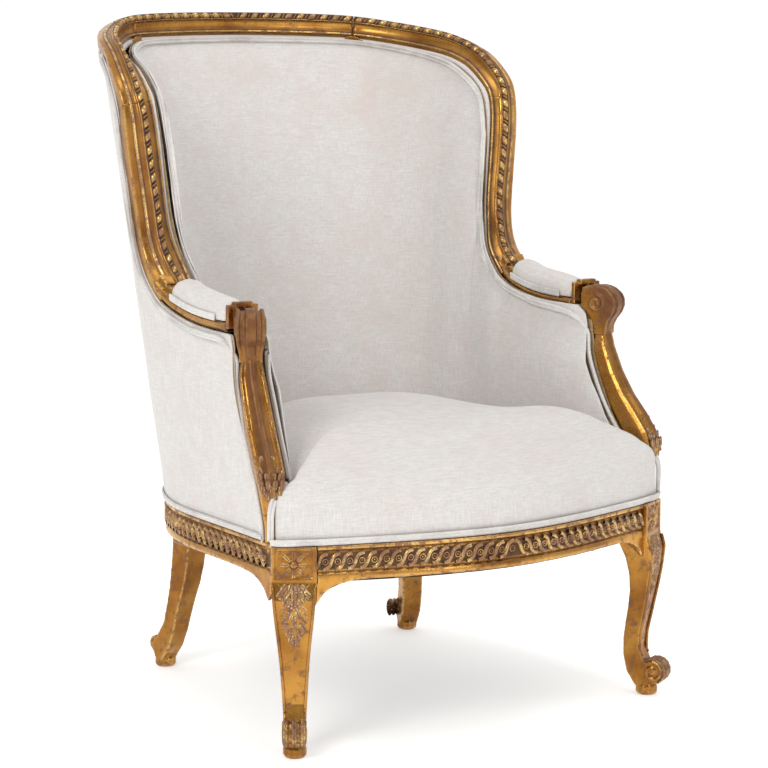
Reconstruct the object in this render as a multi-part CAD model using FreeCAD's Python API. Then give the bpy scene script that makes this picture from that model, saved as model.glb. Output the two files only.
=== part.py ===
import FreeCAD, Part
import math
import os

V = FreeCAD.Vector

# All sizes in millimetres. X points to the sitter's left hand, Y to the back of the chair, Z up.
# The origin is on the floor under the middle of the chair's outline.

# Seat frame
rail_top = 301.0
rail_bottom = 252.0
rail_thickness = 36.0
band_top = 291.0
band_bottom = 266.0
fillet_height = 5.5
lower_fillet_height = 9.0
band_depth = 3.0
hollow_depth = 6.5
bracket_drop = 44.0
bracket_reach = 74.0

# Plan of the seat frame
plan_half_width = 332.0
plan_back_half_depth = 355.0
plan_centre_y = -60.0
front_bow_y = -408.0

# Die blocks and front legs, set out in the leg's own frame: outwards from the face, sideways, height
die_width = 64.0
die_depth = 60.0
die_angle = 32.0
die_face_x = 318.0
die_face_y = -327.0
die_border = 5.0
die_sink = 2.0
foot_scroll_radius = 18.0
foot_scroll_out = 6.0
foot_scroll_height = 38.0
foot_pad_radius = 17.0
foot_pad_height = 17.0
foot_pad_out = -8.0

# Rear legs and the back posts that rise from them
rear_leg_x = 203.0
rear_leg_y = 189.0
rear_leg_angle = 15.0
rear_foot_back = 54.0
rear_foot_inwards = 17.0
rear_scroll_radius = 14.5
rear_scroll_height = 36.0
post_width = 34.0
post_depth = 28.0

# Arm supports and hand holds
support_width = 48.0
volute_radius = 15.0
volute_z = 594.0
support_turn = math.radians(28.0)    # the supports and hand holds face outwards by this much
volute_proud = 2.0
stop_y = -160.0
stop_height = 34.0

# Cloth, stuffing and welts
cloth = 2.4
air = 0.4
welt_width = 10.0
welt_thick = 3.4
welt_rise = 1.0          # how much its inner edge is lifted over the swell of the sheet
hessian = 1.4
strap_thick = 1.6
strap_width = 52.0

# Seat
spring_wire = 4.0
spring_radius = 34.0
spring_turns = 3
dowel_radius = 4.0
dowel_length = 44.0
dowel_play = 0.1

parts = {}


# Curves and skins

def vec(point):
    return V(point[0], point[1], point[2])


def mirror_point(point):
    return V(-point.x, point.y, point.z)


def mirrored(shape):
    return shape.mirror(V(0, 0, 0), V(1, 0, 0))


def guide(points):
    """A smooth curve through its points, with the point's number as its parameter."""
    curve = Part.BSplineCurve()
    curve.interpolate(Points=[vec(p) for p in points], Parameters=[float(i) for i in range(len(points))])
    return curve


def blend(values, t):
    """A smooth value between evenly numbered values."""
    last = len(values) - 1
    i = int(min(max(math.floor(t), 0), last - 1))
    f = t - i
    before = values[max(i - 1, 0)]
    after = values[min(i + 2, last)]
    a, b = values[i], values[i + 1]
    return a + 0.5 * f * (b - before + f * (2 * before - 5 * a + 4 * b - after + f * (3 * (a - b) + after - before)))


def smooth(points, count):
    """Points spread evenly along a smooth curve through the given ones."""
    curve = Part.BSplineCurve()
    curve.interpolate(Points=points)
    return curve.discretize(count)


def ring(points):
    return Part.makePolygon(points + [points[0]])


def skin(rings):
    """A solid stretched over closed sections that all have the same number of corners."""
    n = len(rings[0])
    points = [p for section in rings for p in section]
    facets = []
    for i in range(len(rings) - 1):
        for j in range(n):
            k = (j + 1) % n
            a, b, c, d = i * n + j, i * n + k, (i + 1) * n + k, (i + 1) * n + j
            if (points[a] - points[c]).Length <= (points[b] - points[d]).Length:
                facets += [(a, b, c), (a, c, d)]
            else:
                facets += [(a, b, d), (b, c, d)]
    sides = Part.Shape()
    sides.makeShapeFromMesh((points, facets), 0.001)
    shell = Part.Shell(sides.Faces + [flat_face(rings[0]), flat_face(rings[-1])])
    shell.sewShape()
    solid = Part.Solid(shell)
    if solid.Volume < 0:
        solid.reverse()
    return solid


def turned(profile, sides):
    """A turned form given by radius and height, with as many flats as sides."""
    rings = []
    for r, z in profile:
        angles = [2 * math.pi * i / sides for i in range(sides)]
        rings.append([V(r * math.cos(a), r * math.sin(a), z) for a in angles])
    return skin(rings)


def disc(centre, radius, width, sides=14):
    """A drum that lies across the leg or the arm, along Y."""
    angles = [2 * math.pi * i / sides for i in range(sides)]
    points = [V(centre.x + radius * math.cos(a), centre.y - width / 2, centre.z + radius * math.sin(a)) for a in angles]
    return flat_face(points).extrude(V(0, width, 0))


def spread(first, last, count):
    return [first + (last - first) * i / (count - 1.0) for i in range(count)]


def flat_face(points):
    return Part.Face(ring(points))


# The gilt rim: crown of the rope, inner edge and outer edge, from the arm pad up and round to the crest's middle

rope_line = guide([
    (304, 16, 637), (305, 50, 664), (310, 70, 702), (314, 78, 756), (324, 80, 828), (329, 84, 882), (333, 96, 918),
    (332, 117, 945), (327, 150, 972), (320, 184, 990), (300, 238, 1008), (241, 327, 1026), (163, 372, 1035), (0, 398, 1038), (-163, 372, 1035)])
inner_line = guide([
    (280, 36, 629), (281, 62, 664), (290, 79, 704), (296, 87, 752), (303, 90, 828), (308, 95, 880), (309, 106, 912),
    (308, 127, 933), (306, 156, 953), (303, 188, 966), (289, 242, 980), (235, 329, 997), (160, 375, 1004), (0, 401, 1007), (-160, 375, 1004)])
outer_line = guide([
    (337, 26, 628), (339, 61, 660), (341, 81, 700), (346, 87, 755), (355, 91, 828), (359, 95, 882), (361, 106, 920),
    (360, 127, 946), (355, 158, 971), (347, 188, 986), (325, 250, 1004), (258, 345, 1023), (172, 394, 1032), (0, 422, 1035), (-172, 394, 1032)])
back_line = guide([
    (-2, 10, -14), (-2, 16, -12), (-3, 22, -5), (-4, 24, -1), (-4, 24.5, 0), (-4, 24, -2), (-5, 23, -4),
    (-6, 20, -8), (-8, 18, -10), (-9, 16, -12), (-8, 14, -14), (-6, 13, -15), (-3, 12, -16), (0, 12, -16.5), (3, 12, -16)])
crest_end = 11.55
shoulder_end = 5.6

# Where the moulding's points lie, as shares of the way from the rope's crown to the inner and to the outer edge
rim_profile = [
    (1.0, 0.0), (0.90, -0.07), (0.80, 0.05), (0.55, 0.13), (0.30, 0.04), (0.22, -0.08), (-0.02, -0.06),
    (-0.06, 0.14), (0.07, 0.26), (0.08, 0.44), (-0.04, 0.58), (0.03, 0.70), (0.06, 1.0)]


def square_to(line, t, vector):
    """The vector without its part along the line, so that a section lies in one plane."""
    along = line.tangent(t)[0]
    return vector - along * vector.dot(along)


def rim_section(t):
    crown = rope_line.value(t)
    inwards = square_to(rope_line, t, inner_line.value(t) - crown)
    outwards = square_to(rope_line, t, outer_line.value(t) - crown)
    back = square_to(rope_line, t, back_line.value(t))
    face = [crown + inwards * a + outwards * b for a, b in rim_profile]
    rear = [crown + outwards + back * 0.95, crown + inwards * 0.5 + outwards * 0.5 + back, crown + inwards + back * 0.75]
    return face + rear


def rim_piece(t_from, t_to, count):
    return skin([rim_section(t) for t in spread(t_from, t_to, count)])


def back_stile():
    stile = rim_piece(0.0, shoulder_end - 0.006, 12)
    ledge = flat_face([V(x, y, 634) for x, y in ((281, 30), (281, 11), (290, 5), (322, 5), (333, 11), (335, 24))])
    return stile.fuse(ledge.extrude(V(0, 0, 4)))


def crest_rail():
    right = [rim_section(t) for t in spread(crest_end + 0.006, 12.7, 4)]
    middle = [V(0, p.y, p.z) for p in rim_section(13.0)]
    left = [[mirror_point(p) for p in section] for section in right]
    return skin(right + [middle] + left[::-1])


# Arm rail under the pad, from the stile forward to the hand hold

arm_floor = guide([(0, 40, 633), (0, 14, 613.5), (0, -10, 603.5), (0, -45, 595), (0, -88, 590.5), (0, -170, 589)])
arm_inside = 281.0
arm_rail_height = 18.0
arm_ledge = 9.0
pad_rear_y = 6.0
pad_height = 31.0


def arm_outside(y):
    return 331.0 + 6.0 * max(0.0, (y + 45.0) / 60.0) ** 2


def arm_section(t):
    place = arm_floor.value(t)
    y = place.y
    z = place.z
    a = arm_inside
    b = arm_outside(y)
    shape = [
        (a, 0), (a, 6), (a + 3, arm_ledge), (a + 9, arm_ledge), (a + 11, arm_rail_height), (b - 11, arm_rail_height),
        (b - 9, arm_ledge), (b - 3, arm_ledge), (b, 6), (b, 0), (b - 4, -5), (a + 4, -5)]
    return [V(x, y, z + h) for x, h in shape]


def arm_rail():
    return skin([arm_section(t) for t in [0.0, 0.5, 1.0, 1.5, 2.0, 3.0, 4.0, 4.88]])


def arm_pad():
    """Stuffed pad that sits over the arm rail, rounded off at both ends."""
    sections = []
    for t, fullness in [(1.52, 0.5), (1.58, 0.72), (1.7, 0.9), (2.0, 1.0), (3.0, 1.0), (4.0, 1.0), (4.5, 0.94), (4.76, 0.78), (4.86, 0.55)]:
        place = arm_floor.value(t)
        a = arm_inside + 2
        b = arm_outside(place.y) - 2
        low = arm_ledge + air
        over = arm_rail_height + air
        rise = pad_height * fullness
        side = 2.5 * (1 - fullness)
        shape = [
            (a + side, low), (a + 6.5, low), (a + 8.5, over), (b - 8.5, over), (b - 6.5, low), (b - side, low), (b + 1 - side, low + rise * 0.3),
            (b - 1 - side, low + rise * 0.7), (b - 9, low + rise), ((a + b) / 2, low + rise * 1.14), (a + 9, low + rise), (a + 1 + side, low + rise * 0.7), (a - 1 + side, low + rise * 0.3)]
        sections.append([V(x, place.y, place.z + h) for x, h in shape])
    return skin(sections)


def band_along(places, outwards, upwards, width, thickness):
    """A flat woven band that follows a line; it lies against a face that looks outwards."""
    sections = []
    for p, o, u in zip(places, outwards, upwards):
        sections.append([p, p + o * thickness * 0.7, p + o * thickness + u * width * 0.25, p + o * thickness * 0.75 + u * width * 0.5,
                         p + o * thickness + u * width * 0.75, p + o * thickness * 0.7 + u * width, p + u * width])
    return skin(sections)


def arm_pad_welt():
    """Band round the foot of the arm pad, on both long sides and the back end."""
    sides = []
    for sign in (-1, 1):
        places = []
        for t in [1.6, 2.0, 3.0, 4.0, 4.6]:
            place = arm_floor.value(t)
            x = arm_inside + 0.3 if sign < 0 else arm_outside(place.y) - 0.3
            places.append(V(x, place.y, place.z + arm_ledge + air))
        count = len(places)
        sides.append(band_along(places, [V(sign, 0, 0)] * count, [V(0, 0, 1)] * count, welt_width, welt_thick - 0.6))
    return Part.makeCompound(sides)


# Arm support: an S-shaped stick with a ridged face, and the reeded hand hold with its scroll above it

support_path = guide([
    (328, -281, 301.4), (329, -283, 328), (331, -289, 356), (331.5, -290, 386), (327, -269, 417), (321, -244, 450),
    (316.5, -223, 487), (314, -207, 524), (313.5, -203.5, 552)])
support_half_width = [8, 9, 15, 20, 21, 21, 20, 18.5, 18]
support_half_depth = [8, 9, 14, 20, 21, 18, 15, 13.5, 13]
support_profile = [
    (1.0, -0.9), (1.0, 0.25), (0.90, 0.66), (0.62, 0.60), (0.34, 0.82), (0.13, 1.02), (-0.13, 1.02),
    (-0.34, 0.82), (-0.62, 0.60), (-0.90, 0.66), (-1.0, 0.25), (-1.0, -0.9), (-0.8, -1.0), (0.8, -1.0)]
# The hand hold is drawn about its scroll's eye: forwards from it, and height above the floor
hand_hold_eye = (311, -197)
hand_hold_outline = [
    (-24, 590), (-24, 618), (-10, 620), (0, 621), (10, 620), (19, 616.5), (27, 609.5), (32, 600), (32.5, 590), (29, 579),
    (22.5, 569), (19, 558), (18, 546), (-7, 546), (-10, 562), (-16, 580)]
hand_hold_middle = (4, 590)
# Each reed of the hand hold: where it starts across the arm, its width, and how far it is cut back
reeds = [(-21.0, 5.0, 0.0), (-16.0, 8.5, 3.0), (-7.5, 15.0, -1.0), (7.5, 8.5, 3.0), (16.0, 5.0, 0.0)]


def support_section(t):
    middle = support_path.value(t)
    along = support_path.tangent(t)[0]
    across = V(math.cos(support_turn), math.sin(support_turn), 0)
    across = (across - along * across.dot(along)).normalize()
    outwards = across.cross(along).normalize()
    w = blend(support_half_width, t)
    d = blend(support_half_depth, t)
    return [middle + across * (w * a) + outwards * (d * b) for a, b in support_profile]


def volute_outline(radius, turns, ribbon):
    """Outline of a flat ribbon that winds in to the middle, with its free end at the top."""
    steps = int(10 * turns)
    outer = []
    inner = []
    for i in range(steps + 1):
        angle = 2 * math.pi * turns * i / steps
        r = radius * (1 - 0.70 * i / steps)
        outer.append((r * math.sin(angle), r * math.cos(angle)))
        inner.append(((r - ribbon) * math.sin(angle), (r - ribbon) * math.cos(angle)))
    return outer + inner[::-1]


def hand_hold():
    plates = []
    for start, width, cut_back in reeds:
        points = []
        for forwards, z in hand_hold_outline:
            away = V(0, forwards - hand_hold_middle[0], z - hand_hold_middle[1])
            away = away * ((away.Length - cut_back) / away.Length)
            points.append(V(start, -hand_hold_middle[0] - away.y, hand_hold_middle[1] + away.z))
        plates.append(flat_face(points).extrude(V(width, 0, 0)))
    return plates[0].fuse(plates[1:])


def arm_support():
    stick = skin([support_section(t) for t in [0, 0.8, 1.5, 2.1, 2.7, 3.3, 4, 5, 6, 7, 8]])
    left_side = reeds[0][0] - volute_proud
    outline = [V(left_side, -a, volute_z + b) for a, b in volute_outline(volute_radius + 1.5, 1.35, 3.6)]
    scroll = flat_face(outline).extrude(V(-2 * left_side, 0, 0))
    grip = hand_hold().fuse(scroll)
    grip.rotate(V(0, 0, 0), V(0, 0, 1), math.degrees(support_turn))
    grip.translate(V(hand_hold_eye[0], hand_hold_eye[1], 0))
    stop = Part.makeBox(50, 8, stop_height, V(281, stop_y - 8.4, 590))
    cap = Part.makeBox(30, 12, 8, V(291, stop_y - 12, 620))
    foot = support_path.value(0)
    tenon = Part.makeBox(10, 9, 17, V(-5, -4, -15))
    tenon.rotate(V(0, 0, 0), V(0, 0, 1), math.degrees(support_turn))
    tenon.translate(V(foot.x, foot.y, rail_top + 1))
    return stick.fuse([grip, stop, cap, tenon])


# Seat rails, swept along the plan with the carved band's ground sunk between two fillets

def rear_plan_point(degrees):
    """Point on the plan's rear curve, with the angle from the widest place towards the back."""
    a = math.radians(degrees)
    return (plan_half_width * math.cos(a), plan_centre_y + plan_back_half_depth * math.sin(a), 0)


front_half = [(96, -398, 0), (187, -373, 0), (262, -349, 0), (320, -329, 0)]
front_plan = guide([(-x, y, z) for x, y, z in front_half[::-1]] + [(0, front_bow_y, 0)] + front_half)
half_plan = [(336, -310, 0), (334, -217, 0), (333, -127, 0)] + [rear_plan_point(a) for a in (5, 17, 27, 36, 46, 60, 75)]
side_plan = guide(half_plan + [rear_plan_point(90)] + [(-x, y, z) for x, y, z in half_plan[::-1]])
rear_joint = 7.0


def rail_section(place, outwards, bottom, thickness=rail_thickness):
    def at(inset, z):
        return place - outwards * inset + V(0, 0, z)
    return [
        at(0, rail_top), at(0, rail_top - fillet_height), at(hollow_depth, rail_top - fillet_height - 1),
        at(band_depth, band_top), at(band_depth, band_bottom), at(hollow_depth, band_bottom - 1),
        at(1, rail_bottom + lower_fillet_height), at(0, rail_bottom + 3),
        at(1.5, bottom), at(thickness - 8, min(rail_bottom, bottom + 12)), at(thickness, rail_bottom), at(thickness, rail_top)]


def drop_near(distance):
    """How far the rail's lower edge comes down near a leg, as a quarter of an ellipse."""
    if distance >= bracket_reach:
        return 0.0
    share = 1.0 - max(distance, 0.0) / bracket_reach
    return bracket_drop * (1.0 - math.sqrt(1.0 - 0.96 * share * share))


def rail_at(plan, t, drop):
    along = plan.tangent(t)[0]
    outwards = V(along.y, -along.x, 0).normalize()
    return rail_section(plan.value(t), outwards, rail_bottom - 0.5 - drop)


def front_rail():
    leg_end = front_plan.value(7.45)
    side = []
    for t in [4.0, 4.6, 5.2, 5.8, 6.4, 6.7, 6.9, 7.1, 7.25, 7.45, 7.7]:
        side.append(rail_at(front_plan, t, drop_near((front_plan.value(t) - leg_end).Length)))
    return skin([[mirror_point(p) for p in s] for s in side[:0:-1]] + side)


def side_rail():
    front_end = side_plan.value(0.3)
    stations = [0.15, 0.3, 0.42, 0.56, 0.75, 1.1, 2.0, 2.9, 3.6, 4.3, 5.0, 5.7, 6.4, rear_joint - 0.002]
    return skin([rail_at(side_plan, t, drop_near((side_plan.value(t) - front_end).Length)) for t in stations])


def back_rail():
    return skin([rail_at(side_plan, t, 0.0) for t in spread(rear_joint + 0.002, 20 - rear_joint - 0.002, 11)])


# Legs, sawn to an outline from the side and again from the front, like a bandsawn cabriole leg

def sawn(side_outline, front_outline, half_width, depth):
    """The part of the timber that both saw cuts leave."""
    side = side_outline.extrude(V(0, 2 * half_width, 0))
    side.translate(V(0, -half_width, 0))
    front = front_outline.extrude(V(2 * depth, 0, 0))
    front.translate(V(-depth, 0, 0))
    return side.common(front)


def front_die():
    block = Part.makeBox(die_depth, die_width, rail_top - 250, V(-die_depth, -die_width / 2, 250))
    sunk = Part.makeBox(die_sink, die_width - 2 * die_border, rail_top - 252 - 2 * die_border, V(-die_sink, -die_width / 2 + die_border, 252 + die_border))
    rosette = turned([(18, -1.0), (17, 1.0), (7, 0.4), (4, 4.2)], 10)
    rosette.rotate(V(0, 0, 0), V(0, 1, 0), 90)
    rosette.translate(V(-die_sink, 0, 276))
    return block.cut(sunk).fuse(rosette)


def place_front(shape):
    shape.rotate(V(0, 0, 0), V(0, 0, 1), die_angle - 90)
    shape.translate(V(die_face_x, die_face_y, 0))
    return shape


def front_leg():
    outer = smooth([V(0, 0, 251), V(6.8, 0, 229), V(4, 0, 196), V(0, 0, 170), V(-8, 0, 127), V(-14.5, 0, 94), V(-15, 0, 68), V(-6, 0, 50)], 9)
    inner = smooth([V(-22, 0, 14), V(-35, 0, 34), V(-41, 0, 62), V(-40, 0, 94), V(-34, 0, 130), V(-29, 0, 170), V(-31, 0, 200), V(-46, 0, 240)], 10)
    right = smooth([V(0, 14, 0), V(0, 16, 50), V(0, 18.5, 95), V(0, 21, 134), V(0, 25, 174), V(0, 29, 209), V(0, die_width / 2, 252)], 6)
    left = [V(p.x, -p.y, p.z) for p in right[::-1]]
    toe = [V(4, 0, 38), V(-2, 0, 18)]
    leg = sawn(flat_face(outer + toe + inner + [V(-die_depth, 0, 251)]), flat_face(right + left), 40, 80)
    scroll = foot_scroll(foot_scroll_out, foot_scroll_height, foot_scroll_radius, 17.5, 0)
    return place_front(leg.fuse([front_die(), scroll, foot_pad(foot_pad_out, 0)]))


def foot_scroll(out, height, radius, half_width, sideways):
    """A rolled foot: a drum with a raised ribbon that winds in on each side."""
    middle = V(out, sideways, height)
    drum = disc(middle, radius, 2 * half_width - 4)
    eye = disc(middle, radius * 0.26, 2 * half_width + 1, 8)
    outline = [V(out + a, sideways - half_width, height + b) for a, b in volute_outline(radius + 1, 1.25, 3.8)]
    ribbon = flat_face(outline).extrude(V(0, 2 * half_width, 0))
    return drum.fuse([eye, ribbon])


def foot_pad(out, sideways):
    r = foot_pad_radius
    pad = turned([(r - 4, 0), (r, 4), (r, foot_pad_height - 4), (r - 4, foot_pad_height + 6)], 12)
    pad.translate(V(out, sideways, 0))
    return pad


def rear_leg(neighbours):
    back = rear_foot_back
    outer = smooth([V(20, 0, 252), V(20, 0, 200), V(22, 0, 150), V(28, 0, 104), V(36, 0, 72), V(back - 4, 0, 50)], 8)
    inner = smooth([V(back - 16, 0, 12), V(back - 30, 0, 30), V(back - 42, 0, 58), V(back - 52, 0, 100), V(-12, 0, 150), V(-17, 0, 200), V(-19, 0, 252)], 10)
    toe = [V(back + 8, 0, 38), V(back, 0, 16)]
    outside = smooth([V(0, 22, 250), V(0, 15, 180), V(0, 6, 110), V(0, 0, 50), V(0, -2, 0)], 6)
    inside = smooth([V(0, -34, 0), V(0, -33, 50), V(0, -30, 110), V(0, -25, 180), V(0, -22, 250)], 6)
    side = flat_face([V(19, 0, rail_top)] + outer + toe + inner + [V(-19, 0, rail_top)])
    front = flat_face([V(0, 22, rail_top)] + outside + inside + [V(0, -22, rail_top)])
    leg = sawn(side, front, 60, 120)
    scroll = foot_scroll(back, rear_scroll_height, rear_scroll_radius, 15, -rear_foot_inwards)
    body = leg.fuse([scroll, foot_pad(back - 8, -rear_foot_inwards)])
    body.rotate(V(0, 0, 0), V(0, 0, 1), 90 - rear_leg_angle)
    body.translate(V(rear_leg_x, rear_leg_y, 0))
    return body.fuse(back_post()).cut(neighbours)


post_line = guide([(198, 185, 299), (200, 215, 420), (206, 264, 600), (206, 313, 800), (209, 361, 1002)])


def back_post():
    sections = []
    across = V(math.cos(math.radians(-32)), math.sin(math.radians(-32)), 0)
    outwards = V(-across.y, across.x, 0)
    for t in spread(0.0, 4.0, 7):
        middle = post_line.value(t)
        depth = post_depth - 3.2 * t
        corners = [(1, 1), (-1, 1), (-1, -1), (1, -1)]
        sections.append([middle + across * (a * post_width / 2) + outwards * (b * depth / 2) for a, b in corners])
    return skin(sections)


# Sheets of the back and arms. One number runs round from the left arm's front (-1) over the middle of the back (18)

seat_line = guide([(287, -290, 334), (284, -150, 334), (281, -20, 334), (272, 45, 334), (258, 95, 334), (236, 134, 334),
                   (198, 178, 334), (0, 233, 334), (-198, 178, 334)])
plan_shares = [0.3, 1.25, 2.2, 3.0, 3.7, 4.4, 5.0, 5.8, 7.5, 10.0]
stuffing_edge = 5.0
edge_gap = 4.0
back_gap = 3.4
stuffing_swell = 16.0
sheet_start = -1.0
back_middle = 18.0
half_round = [-1, 1.4, 3.0, 4.0, 5.0, 5.9, 6.6, 7.6, 9.2, 10.6, 11.9, 13.2, 14.3, 15.3, 16.0, 16.55, 17.05, 17.55, 18]


def wood_edge(s):
    """Where the cloth meets the wood inside: on the hand hold, the arm rail and then the rim."""
    if s < 5:
        place = arm_floor.value(4.98 * (5 - max(s, 0)) / 5)
        return V(arm_inside - 1.2, place.y + 33 * min(s, 0), place.z)
    section = rim_section(s - 5)
    away = (section[0] - section[12]).normalize()
    return section[0] + away * (edge_gap + max(0.0, (section[15] - section[0]).dot(away)))


def share(s):
    return (s - sheet_start) / (back_middle - sheet_start)


def away_from_sitter(line, t):
    along = line.tangent(t)[0]
    return V(along.y, -along.x, 0).normalize()


def inside_point(s, v, depth):
    """A point of the inside sheets: s runs round, v from the seat up to the wood, depth in from the wood's edge."""
    low = seat_line.value(7.0 * share(s))
    high = wood_edge(s)
    normal = away_from_sitter(seat_line, 7.0 * share(s)) if s > sheet_start else V(1, 0, 0)
    return low + (high - low) * v - normal * (depth + 7.0 * (1 - v))


def inside_stuffing(v):
    return stuffing_edge + stuffing_swell * math.sin(math.pi * v ** 1.4)


def outside_top(s):
    """Where the outside cloth meets the wood, with the way out from the wood's back face."""
    if s < 5:
        place = arm_floor.value(4.98 * (5 - max(s, 0)) / 5)
        front = min(s, 0) * 33
        return V(arm_outside(place.y), place.y + front, place.z - 7.5), V(1, 0, 0)
    section = rim_section(s - 5)
    behind = section[13]
    back = (behind - section[12]).normalize()
    return behind + back * back_gap, (behind - section[15]).normalize()


def outside_point(s, v, depth):
    t = blend(plan_shares, 9.0 * share(s))
    low_normal = away_from_sitter(side_plan, t) if s > sheet_start else V(1, 0, 0)
    low = side_plan.value(t) - low_normal * 1.5 + V(0, 0, rail_top + 0.5)
    high, high_normal = outside_top(s)
    normal = low_normal * (1 - v ** 3) + high_normal * v ** 3
    if s == back_middle:
        low, high, normal = [V(0, p.y, p.z) for p in (low, high, normal)]
    return low + (high - low) * v + low_normal * (5.0 * math.sin(math.pi * v)) - normal.normalize() * depth


def wrap(point_at, near, far, near_rows, far_rows, stations=half_round, v_from=0.0, v_to=1.0):
    """A sheet that wraps round the chair between two depths, which may change with the height."""
    sections = []
    for s in stations:
        front = [point_at(s, v, near(v)) for v in spread(v_from, v_to, near_rows)]
        rear = [point_at(s, v, far(v)) for v in spread(v_to, v_from, far_rows)]
        sections.append(front + rear)
    sections[-1] = [V(0, p.y, p.z) for p in sections[-1]]
    left = [[mirror_point(p) for p in section] for section in sections[:-1]]
    return skin(sections + left[::-1])


def behind_support():
    """The room in front of the cloth's front edge, which follows the back of the arm support."""
    line = []
    for t in spread(0.0, 7.3, 12):
        back = max(support_section(t), key=lambda p: p.y)
        line.append(V(-400, back.y + 1.5, back.z))
    line = [V(-400, line[0].y, 200)] + line + [V(-400, -182, 562), V(-400, -176, 579), V(-400, -165.2, 589), V(-400, -165.2, 700), V(-400, -600, 700), V(-400, -600, 200)]
    return flat_face(line).extrude(V(800, 0, 0))


def steady(depth):
    return lambda v: depth


def inside_cover(room):
    return wrap(inside_point, lambda v: inside_stuffing(v) + air, lambda v: inside_stuffing(v) + air + cloth, 4, 4).cut(room)


def inside_padding(room):
    return wrap(inside_point, steady(hessian + 0.6), inside_stuffing, 3, 4).cut(room)


def inside_hessian(room):
    return wrap(inside_point, steady(0.2), steady(0.2 + hessian), 3, 3).cut(room)


def outside_cover(room):
    return wrap(outside_point, steady(0.0), steady(cloth), 4, 4).cut(room)


def outside_lining(room):
    return wrap(outside_point, steady(cloth + air), steady(cloth + air + 3.0), 4, 3).cut(room)


def back_webbing():
    """Level straps round the back, behind the hessian, tacked to the posts and the stiles."""
    stations = [s for s in half_round if s > 10]
    straps = []
    for v in (0.20, 0.44, 0.68):
        straps.append(wrap(inside_point, steady(-0.9 - strap_thick), steady(-0.9), 2, 2, stations, v - 0.04, v + 0.04))
    return Part.makeCompound(straps)


def edge_band(point_at, v, beside_v, depth, lift, stations):
    """A flat double band stuck along the edge of a sheet; lift stands it off the sheet, towards the sitter if above 0."""
    places = [point_at(s, v, depth(v)) for s in stations]
    sections = []
    for i, s in enumerate(stations):
        edge = places[i]
        after = places[i + 1] if i + 1 < len(places) else mirror_point(places[i - 1])
        along = (after - places[max(i - 1, 0)]).normalize()
        beside = point_at(s, beside_v, depth(beside_v))
        sweep = point_at(min(s + 0.2, 18.0), beside_v, depth(beside_v)) - point_at(max(s - 0.2, -1.0), beside_v, depth(beside_v))
        out = sweep.cross(beside - edge).normalize()
        if out.dot(point_at(s, v, depth(v) + lift) - edge) < 0:
            out = out * -1.0
        across = out.cross(along).normalize() * welt_width
        if across.dot(V(0, 250, 500) - edge) < 0:
            across = across * -1.0
        edge = edge + out * abs(lift)
        across = across + out * welt_rise
        out = out * welt_thick
        sections.append([
            edge, edge + out + across * 0.2, edge + out * 0.65 + across * 0.5, edge + out + across * 0.8, edge + across])
    sections[-1] = [V(0, p.y, p.z) for p in sections[-1]]
    left = [[mirror_point(p) for p in section] for section in sections[:-1]]
    return skin(sections + left[::-1])


# Seat: springs on webbing, hessian, stuffing and a tight domed cover

seat_outline = [
    (0, -402), (90, -393), (190, -366), (240, -350), (290, -335), (314, -321.5), (317, -313), (300, -296), (270, -272), (258, -248),  (255, -40),
    (242, 36), (206, 112), (146, 168), (75, 197), (0, 206)]
seat_levels = [(0, 0), (20, -4.5), (42, -4.5), (60, 1), (82, 16), (106, 50), (130, 105), (147, 170)]
seat_centre = V(0, -90, 0)
seat_wall = 34.0
hessian_lift = 0.33


def seat_body(inset, lift=1.0, foot=0.5, lower=0.0, skirt=0.0, every=1):
    """The seat's domed form: the inset draws it in on all sides, lift scales its height, lower presses its top down."""
    half = [V(x, y, 0) for x, y in seat_outline]
    whole = half + [mirror_point(p) for p in half[-2:0:-1]]
    levels = [(-skirt, 0)] * (skirt > 0) + seat_levels[::every]
    rings = []
    for height, pull in levels:
        z = rail_top + foot + height * (lift if height > 0 else 1.0) - lower * min(1.0, max(0.0, height / 52.0))
        section = []
        for p in whole:
            inwards = seat_centre - p
            reach = inwards.Length
            swell = pull if pull > 0 or p.y < -330 else 0.0
            section.append(p + inwards.normalize() * min(swell + inset, reach * 0.93) + V(0, 0, z))
        rings.append(section)
    return skin(rings)


def seat_cover():
    return seat_body(0.0).cut(seat_body(cloth, lower=cloth, skirt=3.0))


def seat_padding():
    return seat_body(cloth + air, lower=cloth + air).cut(seat_body(seat_wall - 0.4, hessian_lift, foot=0.9, skirt=3.0, every=2))


def seat_hessian():
    outer = seat_body(seat_wall, hessian_lift, every=2)
    return outer.cut(seat_body(seat_wall + hessian, hessian_lift, lower=hessian, skirt=3.0, every=2))


def strap(length, crossings, first_up, along, place):
    """One webbing strap, woven over and under the straps that cross it."""
    rise = strap_thick + 0.3
    steps = [(-length / 2, 0.0)]
    for i, at in enumerate(crossings):
        up = rise if (i % 2 == 0) == first_up else 0.0
        steps += [(at - strap_width / 2 - 1, up), (at + strap_width / 2 + 1, up)]
    steps.append((length / 2, 0.0))
    upper = [V(s, 0, h + strap_thick) for s, h in steps]
    lower = [V(s, 0, h) for s, h in steps]
    shape = flat_face(lower + upper[::-1]).extrude(V(0, strap_width, 0))
    shape.translate(V(0, -strap_width / 2, 0))
    if along == "y":
        shape.rotate(V(0, 0, 0), V(0, 0, 1), 90)
    shape.translate(place)
    return shape


cross_y = [-190, -126, -62, -4, 54]
long_x = [-148, -50, 50, 148]
strap_z = rail_bottom - 0.4 - 2 * strap_thick - 0.4


def cross_straps():
    straps = []
    for i, y in enumerate(cross_y):
        reach = 322 if y < 0 else 322 - 0.5 * y
        straps.append(strap(2 * reach, long_x, i % 2 == 0, "x", V(0, y, strap_z)))
    return Part.makeCompound(straps)


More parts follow.
